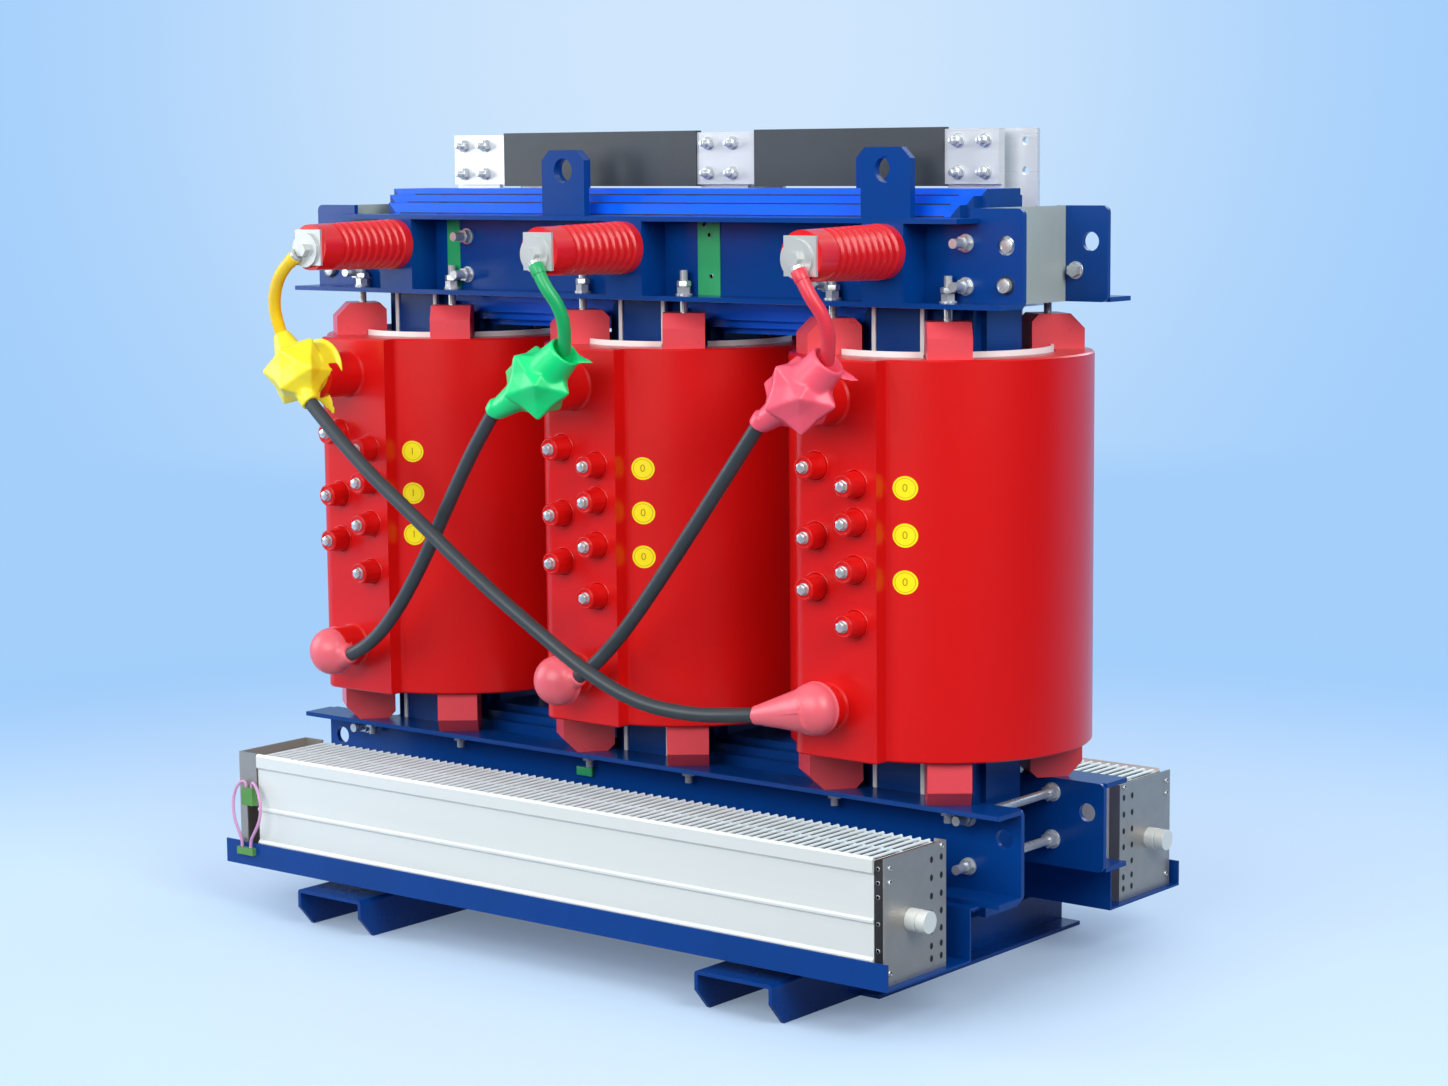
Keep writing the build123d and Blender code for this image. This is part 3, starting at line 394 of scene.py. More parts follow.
# %% [markdown]
# New pieces are modelled by hand with Blender's own operators. These few helpers keep that
# tidy. They clear the selection, select or settle pieces, join them into one whose origin is
# the frame's origin, open edit mode on all faces or on chosen ones, add and apply a modifier,
# and give a piece its finish and its place in the assembly. The shapes that follow, a cylinder,
# a cone, a bar, a plate and a row of copies, are what all the fasteners are made from.

# %% Modelling helpers
def clear_selection():
    bpy.ops.object.select_all(action="DESELECT")


def pick(*pieces):
    clear_selection()
    for piece in pieces:
        piece.select_set(True)
    bpy.context.view_layer.objects.active = pieces[0]


def settle(*pieces):
    """Apply place, turn and size, so that the object sits at the frame's origin."""
    pick(*pieces)
    bpy.ops.object.transform_apply(location=True, rotation=True, scale=True)


def open_edit(piece, chosen=None):
    """Go into edit mode with all selected, or only the faces that pass a test."""
    bpy.ops.object.mode_set(mode="EDIT")
    bpy.ops.mesh.select_all(action="DESELECT" if chosen else "SELECT")
    if chosen:
        close_edit()
        for face in piece.data.polygons:
            face.select = chosen(face)
        bpy.ops.object.mode_set(mode="EDIT")


def close_edit():
    bpy.ops.object.mode_set(mode="OBJECT")


def faces_up(face):
    return face.normal.z > 0.9


def joined(pieces, name):
    settle(*pieces)
    if len(pieces) > 1:
        bpy.ops.object.join()
    piece = bpy.context.view_layer.objects.active
    piece.name = name
    piece.data.name = name
    return piece


def add_modifier(piece, kind, **settings):
    pick(piece)
    modifier = piece.modifiers.new(kind.title(), kind)
    for key, value in settings.items():
        setattr(modifier, key, value)
    bpy.ops.object.modifier_apply(modifier=modifier.name)


def hand_over(piece, finish, replaced=(), smooth=35.0):
    piece.data.materials.clear()
    piece.data.materials.append(finish)
    pick(piece)
    bpy.ops.object.shade_smooth_by_angle(angle=radians(smooth))
    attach(piece, "root")
    if replaced:
        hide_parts(*replaced)
    return piece


def turn_to(direction):
    """The turn that lays a piece's own Z axis along a direction."""
    return Vector(direction).to_track_quat("Z", "Y").to_euler()


def cylinder(place, radius, length, direction=(0, 0, 1), sides=32):
    bpy.ops.mesh.primitive_cylinder_add(vertices=sides, radius=radius / 1000, depth=length / 1000,
                                        location=metres(*place), rotation=turn_to(direction))
    return bpy.context.object


def cone(place, radius0, radius1, length, direction, sides=32):
    bpy.ops.mesh.primitive_cone_add(vertices=sides, radius1=radius0 / 1000, radius2=radius1 / 1000,
                                    depth=length / 1000, location=metres(*place),
                                    rotation=turn_to(direction))
    return bpy.context.object


def round_bar(radius, low, high, sides):
    """A bar along Z, from low to high, ready to be shaped."""
    piece = cylinder((0, 0, (low + high) / 2), radius, high - low, sides=sides)
    settle(piece)
    return piece


def plate(low, high, bevel=0.4):
    """A thin flat piece between two corners, with its edges eased as a sheared edge is."""
    size = [(b - a) / 1000 for a, b in zip(low, high)]
    centre = [(a + b) / 2 for a, b in zip(low, high)]
    bpy.ops.mesh.primitive_cube_add(size=1.0, location=metres(*centre), scale=size)
    piece = bpy.context.object
    settle(piece)
    open_edit(piece)
    bpy.ops.mesh.bevel(offset=bevel / 1000, segments=2, affect="EDGES")
    close_edit()
    return piece


def copies(master, places):
    """Copies of a piece modelled at the origin along Z, each with its own mesh."""
    made = []
    for place, direction in places:
        copy = master.copy()
        copy.data = master.data.copy()
        bpy.context.scene.collection.objects.link(copy)
        copy.location = metres(*place)
        copy.rotation_euler = turn_to(direction)
        made.append(copy)
    bpy.data.objects.remove(master)
    return made


def set_row(name, master, places, finish):
    """Copies of one piece at their places, joined and handed over as one."""
    return hand_over(joined(copies(master, places), name), finish)


# %% [markdown]
# A hexagon bolt is a six-sided head with its top corners turned off, on a round washer. It is
# modelled once, lying along Z: a cylinder primitive with six sides, whose top edges are
# bevelled. A stub of thread is a rounder bar with its end turned down in the same way. The head
# of each tap bolt on the coils is a copy of one such head.

# %% A hexagon bolt
corner_ease, thread_ease, washer_edge = 0.9, 1.0, 0.25


def turned_bar(radius, low, high, ease, sides):
    """A bar along Z with the edges of its top face turned off."""
    piece = round_bar(radius, low, high, sides)
    open_edit(piece, faces_up)
    bpy.ops.mesh.bevel(offset=ease / 1000, segments=2, affect="EDGES")
    close_edit()
    return piece


def hex_piece(across, low, high):
    """A six-sided nut or head from low to high, so wide across its flats."""
    return turned_bar(across / 2 / cos(pi / 6), low, high, corner_ease, 6)


def threaded_end(radius, low, high):
    return turned_bar(radius, low, high, thread_ease, 20)


def washer_piece(radius, low, high):
    piece = round_bar(radius, low, high, 28)
    open_edit(piece)
    bpy.ops.mesh.bevel(offset=washer_edge / 1000, segments=1, affect="EDGES")
    close_edit()
    return piece


tap_tip_y = -274.0
outer_tap_x, outer_tap_heights = -48.0, (780.0, 679.0, 605.0)
inner_tap_x, inner_tap_heights = 21.0, (757.0, 703.0, 635.0, 557.0)
tap_places = [(outer_tap_x, z) for z in outer_tap_heights]
tap_places += [(inner_tap_x, z) for z in inner_tap_heights]
bolt_axes = [((coil_x[name] + x, tap_tip_y, z), (0, -1, 0))
             for name in phases for x, z in tap_places]
bolt = joined([hex_piece(across=14.0, low=1.5, high=8.0),
               washer_piece(radius=9.0, low=0.0, high=1.5)], "tap_bolt")
set_row("tap_bolts", bolt, bolt_axes, zinc_plate)
print(len(bolt_axes), "tap bolts")

# %% [markdown]
# Where resin was cast round the tap inserts, the mould left a rolled rim at each boss's tip and
# a fine fillet ring where the boss rises from the panel. Both catch the light, so they are real
# rings: one torus of each size, copied to every tap.

# %% Rims of the tap bosses
def ring_piece(radius, thickness):
    bpy.ops.mesh.primitive_torus_add(major_radius=radius / 1000, minor_radius=thickness / 1000,
                                     major_segments=32, minor_segments=8)
    return bpy.context.object


panel_y = -244.0
tip_in, base_out = 0.2, 0.3
tip_places = [((x, y + tip_in, z), axis) for (x, y, z), axis in bolt_axes]
base_places = [((x, panel_y - base_out, z), axis) for (x, _, z), axis in bolt_axes]
rims = copies(ring_piece(radius=14.6, thickness=1.3), tip_places)
rims += copies(ring_piece(radius=21.5, thickness=1.4), base_places)
hand_over(joined(rims, "tap_boss_rims"), resin_red, smooth=60.0)
print(len(rims), "rims")

# %% [markdown]
# The star bar is bolted to each riser with four bolts whose nuts and threaded ends face the
# front, and each pressing stud carries a second nut above the first to lock it. Both are the
# same kind of nut in two sizes, so the same small functions serve.

# %% Star bar bolts and lock nuts
bar_low, bar_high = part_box("neutral_bar")
bar_front_y = bar_low[1] * 1000
bar_middle_z = (bar_low[2] + bar_high[2]) * 500
riser_offsets = {"left": -130.0, "middle": -70.0, "right": -66.0}
bar_bolt_x, bar_bolt_z = 25.0, 24.0
bar_bolt_places = [((coil_x[name] + riser_offsets[name] + sx * bar_bolt_x, bar_front_y,
                     bar_middle_z + sz * bar_bolt_z), (0, -1, 0))
                   for name in phases for sx in (-1, 1) for sz in (-1, 1)]
bar_bolt = joined([washer_piece(radius=11.0, low=0.0, high=2.0),
                   hex_piece(across=17.0, low=2.0, high=10.0),
                   threaded_end(radius=5.2, low=10.0, high=21.0)], "bar_bolt")
set_row("star_bar_bolts", bar_bolt, bar_bolt_places, zinc_plate)

lock_nut_z = 1024.5
stud_x, stud_y = 102.0, 130.0
lock_places = [((coil_x[name] + sx * stud_x, sy * stud_y, lock_nut_z), (0, 0, 1))
               for name in phases for sx in (-1, 1) for sy in (-1, 1)]
lock_nut = joined([hex_piece(across=19.0, low=0.0, high=8.0),
                   washer_piece(radius=10.2, low=8.0, high=8.6)], "lock_nut")
set_row("stud_lock_nuts", lock_nut, lock_places, zinc_plate)
print(len(bar_bolt_places), "star bar bolts,", len(lock_places), "lock nuts")

# %% [markdown]
# At the clamps' ends round heads sit in the end holes, and a hexagon bolt holds each grey end
# plate to the rear clamp. A round head is a short cylinder with a wide bevel round its face and
# a socket pressed into it.

# %% Clamp end bolts
socket_inset, socket_depth = 3.2, 2.5


def round_head(radius, low, high, ease):
    piece = round_bar(radius, low, high, 36)
    open_edit(piece, faces_up)
    bpy.ops.mesh.bevel(offset=ease / 1000, segments=4, affect="EDGES")
    bpy.ops.mesh.inset(thickness=socket_inset / 1000)
    bpy.ops.transform.translate(value=(0, 0, -socket_depth / 1000))
    close_edit()
    return piece


web_y = -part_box("upper_clamp_front")[1][1] * 1000
end_bolt_x, end_hole_z, end_low_z = 675.0, 1092.0, 1036.0
hole_out, low_out = 1.0, 8.0
hole_places = [((side * end_bolt_x, -web_y - hole_out, end_hole_z), (0, -1, 0)) for side in (-1, 1)]
low_places = [((side * end_bolt_x, -web_y - low_out, end_low_z), (0, -1, 0)) for side in (-1, 1)]
set_row("clamp_end_heads", round_head(radius=10.5, low=0.0, high=9.0, ease=1.5),
        hole_places + low_places, zinc_plate)
# The thin dark ring behind each lower head is painted shade: the hole's gap round the head.
set_row("clamp_end_hole_shades", washer_piece(radius=13.6, low=0.0, high=0.8), low_places, painted_shade_and_joint_dark)
rear_bolt_x, rear_bolt_z = 650.0, 1050.0
rear_places = [((side * rear_bolt_x, web_y, rear_bolt_z), (0, -1, 0)) for side in (-1, 1)]
rear_bolt = joined([washer_piece(radius=13.0, low=0.0, high=2.0),
                    hex_piece(across=19.0, low=2.0, high=11.0)], "rear_bolt")
set_row("clamp_end_rear_bolts", rear_bolt, rear_places, zinc_plate)
print("clamp end bolts", len(hole_places) + len(low_places) + len(rear_places))

# %% [markdown]
# The rods that tie the lower clamps are locked by a nut and a wide washer on each clamp's inner
# face. Small pan heads hold the green strip on the front web.

# %% Tie rod nuts and strip screws
rod_x, rod_heights = 614.0, (268.0, 196.0)
rod_places = [((sx * rod_x, sy * web_y, z), (0, -sy, 0)) for sx in (-1, 1) for sy in (-1, 1)
              for z in rod_heights]
rod_nut = joined([washer_piece(radius=14.5, low=0.0, high=2.5),
                  hex_piece(across=22.0, low=2.5, high=14.0)], "rod_nut")
set_row("tie_rod_nuts", rod_nut, rod_places, zinc_plate)
strip_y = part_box("insulating_strips")[0][1] * 1000
strip_spots = ((133.0, 1117.0), (143.0, 1102.0), (146.0, 1040.0))
set_row("strip_screws", round_head(radius=3.6, low=0.0, high=2.4, ease=1.0),
        [((x, strip_y, z), (0, -1, 0)) for x, z in strip_spots], zinc_plate)
print(len(rod_places), "rod nuts,", len(strip_spots), "strip screws")

# %% [markdown]
# The soft boots over the upper coil terminals are dip-moulded PVC: a hollow body with pointed
# soft corners, a spout that grips the cable, and a wide crumpled mouth for the lead. An
# icosphere's twelve corners give just such a body once the middles of its edges are drawn in.
# The spout is a tube that widens into a cone, and the mouth is a cone. A voxel remesh melts
# them into one skin, rounds of smoothing soften every crease as the moulding does, and a boolean
# opens the mouth.

# %% The body of a boot
draw_in = 0.92
spout_radius, spout_length = 15.0, 18.0
taper_radius, taper_length, taper_middle = 27.0, 68.0, 40.0
mouth_root, mouth_lip, wall, wide_mouth = 36.0, 4.0, 1.0, 20.0
cutter_in, cutter_tip, cutter_length = 6.0, 14.0, 40.0
rim_ring, rim_thickness = 44.0, 3.0
plug_radius, plug_depth, plug_out = 41.0, 36.0, 16.0
upper_voxel, upper_rounds = 1.8, 9
edge_middle = 0.95


def boot_body(centre, size, turn):
    bpy.ops.mesh.primitive_ico_sphere_add(subdivisions=1, radius=1.0, location=(0, 0, 0))
    body = bpy.context.object
    open_edit(body)
    bpy.ops.mesh.subdivide(number_cuts=1)
    bpy.ops.mesh.select_all(action="DESELECT")
    close_edit()
    for corner in body.data.vertices:
        corner.select = corner.co.length < edge_middle
    bpy.ops.object.mode_set(mode="EDIT")
    bpy.ops.transform.resize(value=(draw_in, draw_in, draw_in), center_override=(0, 0, 0))
    close_edit()
    body.rotation_euler = [radians(v) for v in turn]
    settle(body)
    body.scale = [v / 1000 for v in size]
    body.location = metres(*centre)
    settle(body)
    return body


def flap_piece(root, tip, width, thickness, thin_way):
    """A flat pointed tongue from its root to its tip, thin along one given way."""
    root, tip = Vector(root), Vector(tip)
    length_way = (tip - root).normalized()
    thin_way = Vector(thin_way)
    thin_way = (thin_way - length_way * thin_way.dot(length_way)).normalized()
    side_way = thin_way.cross(length_way)
    bpy.ops.mesh.primitive_cone_add(vertices=32, radius1=width / 2000, radius2=0.0015,
                                    depth=(tip - root).length / 1000)
    piece = bpy.context.object
    piece.scale = (1.0, thickness / width, 1.0)
    settle(piece)
    piece.rotation_euler = Matrix((side_way, thin_way, length_way)).transposed().to_euler()
    piece.location = metres(*((root + tip) / 2))
    settle(piece)
    return piece


def smooth_skin(piece, voxel, rounds):
    add_modifier(piece, "REMESH", mode="VOXEL", voxel_size=voxel / 1000)
    add_modifier(piece, "SMOOTH", factor=0.5, iterations=rounds)


def along(a, b):
    return (Vector(b) - Vector(a)).normalized()


def open_mouth(boot, cutter):
    settle(cutter)
    add_modifier(boot, "BOOLEAN", operation="DIFFERENCE", solver="EXACT", object=cutter)
    bpy.data.objects.remove(cutter)
    add_modifier(boot, "SMOOTH", factor=0.5, iterations=2)


def upper_boot(name, centre, size, turn, mouth_radius, flap, rim_place=None):
    """One boot: its spout points at the cable, and its mouth opens round the lead."""
    cable, lead = cable_routes[name], lead_routes[name]
    centre = Vector(centre)
    spout = Vector(cable[0])
    into, inward = along(cable[1], spout), along(spout, centre)
    mouth = Vector(lead[-1])
    down = along(mouth, centre)
    reach = (centre - mouth).length
    shapes = [boot_body(centre, size, turn),
              cylinder(spout + into * spout_length / 2, spout_radius, spout_length, into),
              cone(spout + inward * taper_middle, spout_radius, taper_radius, taper_length, inward),
              cone(mouth + down * ((reach - mouth_lip) / 2), mouth_radius, mouth_root,
                   reach + mouth_lip, down),
              flap_piece(*flap)]
    if rim_place is not None:
        bpy.ops.mesh.primitive_torus_add(location=metres(*rim_place), rotation=(pi / 2, 0, 0),
                                         major_radius=rim_ring / 1000,
                                         minor_radius=rim_thickness / 1000,
                                         major_segments=48, minor_segments=12)
        shapes.append(bpy.context.object)
        x, y, z = rim_place
        shapes.append(cylinder((x, y - plug_out, z), plug_radius, plug_depth, (0, 1, 0)))
    boot = joined(shapes, f"terminal_boot_skin_{name}")
    smooth_skin(boot, upper_voxel, upper_rounds)
    if mouth_radius > wide_mouth:
        open_mouth(boot, cone(mouth + down * cutter_in, mouth_radius - wall, cutter_tip,
                              cutter_length, down))
    return hand_over(boot, boot_finishes[name], (f"terminal_boot_{name}",),
                     smooth=60.0)


# %% [markdown]
# The boots are turned so that their points fall about where the photograph shows them. The
# left one is pulled over its lead to a narrow neck, and has a ring round its back and a long
# tongue that hangs behind the cable. The other two have a wide open mouth with a short tongue.

# %% The three upper boots
towards_camera = (0.63, -0.78, 0.0)
boot_shapes = {
    "left": ((-527, -338, 885), (64, 50, 61), (10, 25, 40), 13.0,
             ((-512, -318, 872), (-484, -298, 812), 46.0, 7.0, towards_camera), (-522, -290, 888)),
    "middle": ((-12, -338, 887), (64, 50, 61), (15, 40, 10), 26.0,
               ((38, -322, 926), (76, -306, 917), 40.0, 6.0, (0.0, -0.4, 1.0))),
    "right": ((480, -338, 889), (64, 50, 61), (15, 40, 10), 26.0,
              ((524, -322, 924), (566, -306, 908), 40.0, 6.0, (0.0, -0.4, 1.0))),
}
upper_boots = {name: upper_boot(name, *shape) for name, shape in boot_shapes.items()}
for name, boot in upper_boots.items():
    print("boot", name, len(boot.data.polygons), "faces")

# %% [markdown]
# The lower boots are plainer caps: a round skirt over the terminal with a rolled rim, a domed
# front, and a spout towards the cable. They are made and melted in the same way. The one that
# lies along its cable is a long cone with a moulding seam along its middle.

# %% The lower boots
lower_ends = {"left": "middle", "middle": "right", "right": "left"}
lower_offsets = {"left": (-31.0, 427.0), "middle": (-25.0, 428.0), "right": (-22.0, 436.0)}
dome_depths = {"left": 34.0, "middle": 34.0, "right": 30.0}
taper_ends = {"left": 30.0, "middle": 30.0, "right": 36.5}
dome_radius, skirt_radius, skirt_depth, skirt_y = 38.2, 37.6, 14.0, -284.0
rolled_ring, rolled_thickness, rolled_y = 37.4, 2.1, -278.5
lower_spout, lower_spout_length, lower_overlap, dome_y = 14.5, 26.0, 6.0, -288.0
lower_voxel, lower_rounds = 1.7, 4
seam_start, seam_radius, seam_rise, seam_width = 14.0, 15.2, 0.3, 0.022


def lower_boot(name):
    dx, z = lower_offsets[name]
    x = coil_x[name] + dx
    cable = cable_routes[lower_ends[name]]
    mouth, middle = Vector(cable[-1]), Vector((x, dome_y, z))
    into, inward = along(cable[-2], mouth), along(mouth, middle)
    reach = (middle - mouth).length
    bpy.ops.mesh.primitive_uv_sphere_add(segments=32, ring_count=20, radius=1.0,
                                         location=metres(x, dome_y - 1, z))
    dome = bpy.context.object
    dome.scale = (dome_radius / 1000, dome_depths[name] / 1000, dome_radius / 1000)
    settle(dome)
    shapes = [dome, cylinder((x, skirt_y, z), skirt_radius, skirt_depth, (0, 1, 0), sides=48)]
    bpy.ops.mesh.primitive_torus_add(location=metres(x, rolled_y, z), rotation=(pi / 2, 0, 0),
                                     major_radius=rolled_ring / 1000,
                                     minor_radius=rolled_thickness / 1000,
                                     major_segments=48, minor_segments=12)
    shapes.append(bpy.context.object)
    shapes.append(cone(mouth + inward * ((reach + lower_overlap) / 2), lower_spout,
                       taper_ends[name], reach - lower_overlap, inward))
    shapes.append(cylinder(mouth + into * lower_spout_length / 2, lower_spout, lower_spout_length,
                           into))
    boot = joined(shapes, f"lower_boot_{name}")
    smooth_skin(boot, lower_voxel, lower_rounds)
    return boot


def moulding_seam(name):
    """A thin ridge round the long boot at half its height."""
    dx, z = lower_offsets[name]
    mouth = Vector(cable_routes[lower_ends[name]][-1]) + Vector((seam_start, 0.0, 0.0))
    middle = Vector((coil_x[name] + dx, dome_y, z))
    inward = along(mouth, middle)
    seam = cone((0, 0, 0), seam_radius, taper_ends[name] + seam_rise, (middle - mouth).length,
                (0, 0, 1), sides=48)
    seam.scale = (seam_width, 1.0, 1.0)
    settle(seam)
    seam.rotation_euler = Matrix(((0, 0, 1), (0, 1, 0), (-1, 0, 0))).to_euler()
    settle(seam)
    seam.rotation_euler = (0.0, -atan2(inward.z, inward.x), 0.0)
    seam.location = metres(*((mouth + middle) / 2))
    settle(seam)
    return seam


lower_boots = joined([lower_boot(name) for name in phases] + [moulding_seam("right")],
                     "lower_boot_skins")
hand_over(lower_boots, lower_boot_pvc, ("lower_boots",), smooth=60.0)
print("lower boots", len(lower_boots.data.polygons), "faces")

# %% [markdown]
# Each lead's insulation is pushed over the crimped barrel of its lug, right up to the round
# eye, so no bare metal shows between them. It is a short tube in the lead's own colour.

# %% Lead sleeves
lug_bolt_offset, lug_bolt_z = 14.0, 1079.0
sleeve_out, sleeve_radius, sleeve_length, sleeve_edge = 25.5, 10.9, 17.0, 0.8
for name in phases:
    eye = Vector((coil_x[name] + lug_bolt_offset, lead_start_y, lug_bolt_z))
    way = along(eye, lead_routes[name][0])
    sleeve = cylinder(eye + way * sleeve_out, sleeve_radius, sleeve_length, way, sides=40)
    settle(sleeve)
    add_modifier(sleeve, "BEVEL", width=sleeve_edge / 1000, segments=2, limit_method="ANGLE",
                 angle_limit=radians(60))
    sleeve.name = f"lead_sleeve_{name}"
    hand_over(sleeve, lead_finishes[name])
print(len(phases), "lead sleeves")

# %% [markdown]
# Three round yellow labels stick on each coil, with a plain number and a fine printed ring.
# Each is a disc cut with inset rings, laid on the drum by a shrinkwrap so that it bends round
# it as a film does.

# %% Round labels
label_x, label_y, label_heights = 83.0, -260.0, (752.5, 685.0, 618.0)
label_radius, label_insets, film_lift, film_thickness = 17.2, (9.2, 4.0), 0.5, 0.4
ring_radius, ring_width, print_lift, digit_size = 14.3, 0.6, 0.8, 16.0
label_numbers = {"left": "1", "middle": "0", "right": "0"}


def lay_on_coil(piece, name, lift):
    add_modifier(piece, "SHRINKWRAP", target=nodes[f"hv_coil_{name}"], wrap_method="PROJECT",
                 wrap_mode="ABOVE_SURFACE", use_project_y=True, use_negative_direction=True,
                 use_positive_direction=True, offset=lift / 1000)


def label_film(place, radius, insets, name, lift, open_middle=False):
    """A disc or ring that faces the front, cut by inset rings and laid on the coil."""
    bpy.ops.mesh.primitive_circle_add(vertices=48, radius=radius / 1000, fill_type="NGON",
                                      location=metres(*place), rotation=(pi / 2, 0, 0))
    film = bpy.context.object
    settle(film)
    open_edit(film)
    for inset in insets:
        bpy.ops.mesh.inset(thickness=inset / 1000)
    if open_middle:
        bpy.ops.mesh.delete(type="FACE")
    close_edit()
    lay_on_coil(film, name, lift)
    return film


def label_number(place, digit, name, lift):
    bpy.ops.object.text_add(location=metres(*place), rotation=(pi / 2, 0, 0))
    text = bpy.context.object
    text.data.body = digit
    text.data.size = digit_size / 1000
    text.data.align_x = "CENTER"
    text.data.align_y = "CENTER"
    bpy.ops.object.convert(target="MESH")
    text = bpy.context.object
    settle(text)
    lay_on_coil(text, name, lift)
    return text


discs, prints = [], []
for name in phases:
    for height in label_heights:
        front = (coil_x[name] + label_x, label_y, height)
        discs.append(label_film(front, label_radius, label_insets, name, film_lift))
        prints.append(label_film(front, ring_radius, (ring_width,), name, print_lift,
                                 open_middle=True))
        prints.append(label_number(front, label_numbers[name], name, print_lift))
labels = joined(discs, "coil_labels")
add_modifier(labels, "SOLIDIFY", thickness=film_thickness / 1000, offset=-1.0)
hand_over(labels, sticker_yellow)
hand_over(joined(prints, "coil_label_prints"), sticker_ink)
print(len(discs), "labels")

# %% [markdown]
# Thin white laminate strips stand before and behind the limbs, above and below the coils, and
# one lies along under each upper clamp, to keep core and clamps apart. They are flat cut strips
# with eased edges.

# %% White laminate strips
core_front = -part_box("limb_middle")[0][1] * 1000
clamp_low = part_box("upper_clamp_front")[0][2] * 1000
clamp_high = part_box("lower_clamp_front")[1][2] * 1000
strip_gap, strip_width, strip_depth = 43.0, 7.0, 3.0
strip_faces = ((-core_front - strip_depth, -core_front), (core_front, core_front + strip_depth))
strips = []
for name in phases:
    for side in (-1, 1):
        x = coil_x[name] + side * strip_gap
        for low, high in ((coil_high, clamp_low), (clamp_high, coil_low)):
            for y0, y1 in strip_faces:
                strips.append(plate((x - strip_width / 2, y0, low),
                                    (x + strip_width / 2, y1, high)))
board_half, board_drop, board_depth, board_gap = 600.0, 4.0, 5.0, 0.2
for side in (-1, 1):
    y0, y1 = sorted((side * (core_front + board_gap), side * (core_front + board_depth)))
    strips.append(plate((-board_half, y0, clamp_low - board_drop),
                        (board_half, y1, clamp_low - board_gap)))
hand_over(joined(strips, "white_laminate_strips"), barrier_white)
print(len(strips), "laminate strips")

# %% [markdown]
# Where a limb's sheets meet the yoke's, the enamel cracks along the mitred joint, which shows
# as small dark breaks that step back with the packets. Each is a sliver nine millimetres long
# on its packet's top. A thin line of painted shadow also runs along the foot of each packet, in
# the same dark finish. A small green laminate block lies against the front lower clamp.

# %% Mitre joints, painted foot shadows and a green block
# Each packet's top: its inner and outer edge from the middle, and its height
packet_edges = [(43.4, 63.1, 1160.0), (63.1, 79.5, 1147.5), (79.5, 95.3, 1130.0),
                (95.3, 107.2, 1110.0)]
joint_places = (-470.0, -28.0, 52.0, 448.0)
joint_step, joint_length, joint_rise = 11.0, 9.0, 0.5
foot_half, foot_width, foot_rise = 545.0, 1.3, 1.8
slivers = []
for place in joint_places:
    for count, (inner, outer, top) in enumerate(packet_edges):
        x = place + joint_step * count
        for side in (-1, 1):
            y0, y1 = sorted((side * inner, side * outer))
            slivers.append(plate((x, y0, top), (x + joint_length, y1, top + joint_rise), bevel=0.1))
# Painted shadow: a thin dark line at the foot of each packet.
for inner, outer, top in packet_edges:
    for side in (-1, 1):
        y0, y1 = sorted((side * inner, side * (inner + foot_width)))
        slivers.append(plate((-foot_half, y0, top), (foot_half, y1, top + foot_rise), bevel=0.2))
hand_over(joined(slivers, "mitre_joints_and_painted_foot_shadows"), painted_shade_and_joint_dark)
block_low, block_high = (-138.0, -121.5, 241.0), (-105.0, -115.2, 255.0)
green_block = joined([plate(block_low, block_high, bevel=0.8)], "green_packing_block")
hand_over(green_block, strip_green)
print(len(slivers), "mitre marks")

# %% [markdown]
# A fan's mouth is closed by a guard of round enamelled rods, welded to three long wires. One
# rod is modelled and an array modifier repeats it at its real pitch. The rear guard is the same
# piece on the other side.

# %% Fan guards
guard_low, guard_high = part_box("fan_guard_front")
rod_pitch, rod_radius = 16.0, 2.4
guard_z = guard_high[2] * 1000 - rod_radius
guard_y0, guard_y1 = guard_low[1] * 1000, guard_high[1] * 1000
guard_x0, guard_x1 = guard_low[0] * 1000, guard_high[0] * 1000


def fan_guard(name, y0, y1, node):
    count = int((guard_x1 - guard_x0 - 2 * rod_radius) / rod_pitch) + 1
    first = (guard_x0 + guard_x1) / 2 - (count - 1) * rod_pitch / 2
    rod = cylinder((first, (y0 + y1) / 2, guard_z), rod_radius, abs(y1 - y0), (0, 1, 0), sides=8)
    settle(rod)
    add_modifier(rod, "ARRAY", count=count, use_relative_offset=False, use_constant_offset=True,
                 constant_offset_displace=(rod_pitch / 1000, 0, 0))
    wires = [cylinder(((guard_x0 + guard_x1) / 2, y, guard_z - 1.5 * rod_radius), rod_radius,
                      guard_x1 - guard_x0, (1, 0, 0), sides=8)
             for y in (y0 + rod_radius, (y0 + y1) / 2, y1 - rod_radius)]
    guard = joined([rod] + wires, name)
    hand_over(guard, guard_enamel, (node,))
    return count


rods = fan_guard("fan_guard_rods_front", guard_y0, guard_y1, "fan_guard_front")
rods += fan_guard("fan_guard_rods_rear", -guard_y1, -guard_y0, "fan_guard_rear")
print(rods, "guard rods")

# %% [markdown]
# Under the guard the fan is open: a dark slot as long as the fan. The housing's solid top is
# covered there by a thin dark sheet, which reads as the shaded inside between the rods. The
# short gaps at the fan's right end, between the skin and the end plate, are dark for the same
# reason.

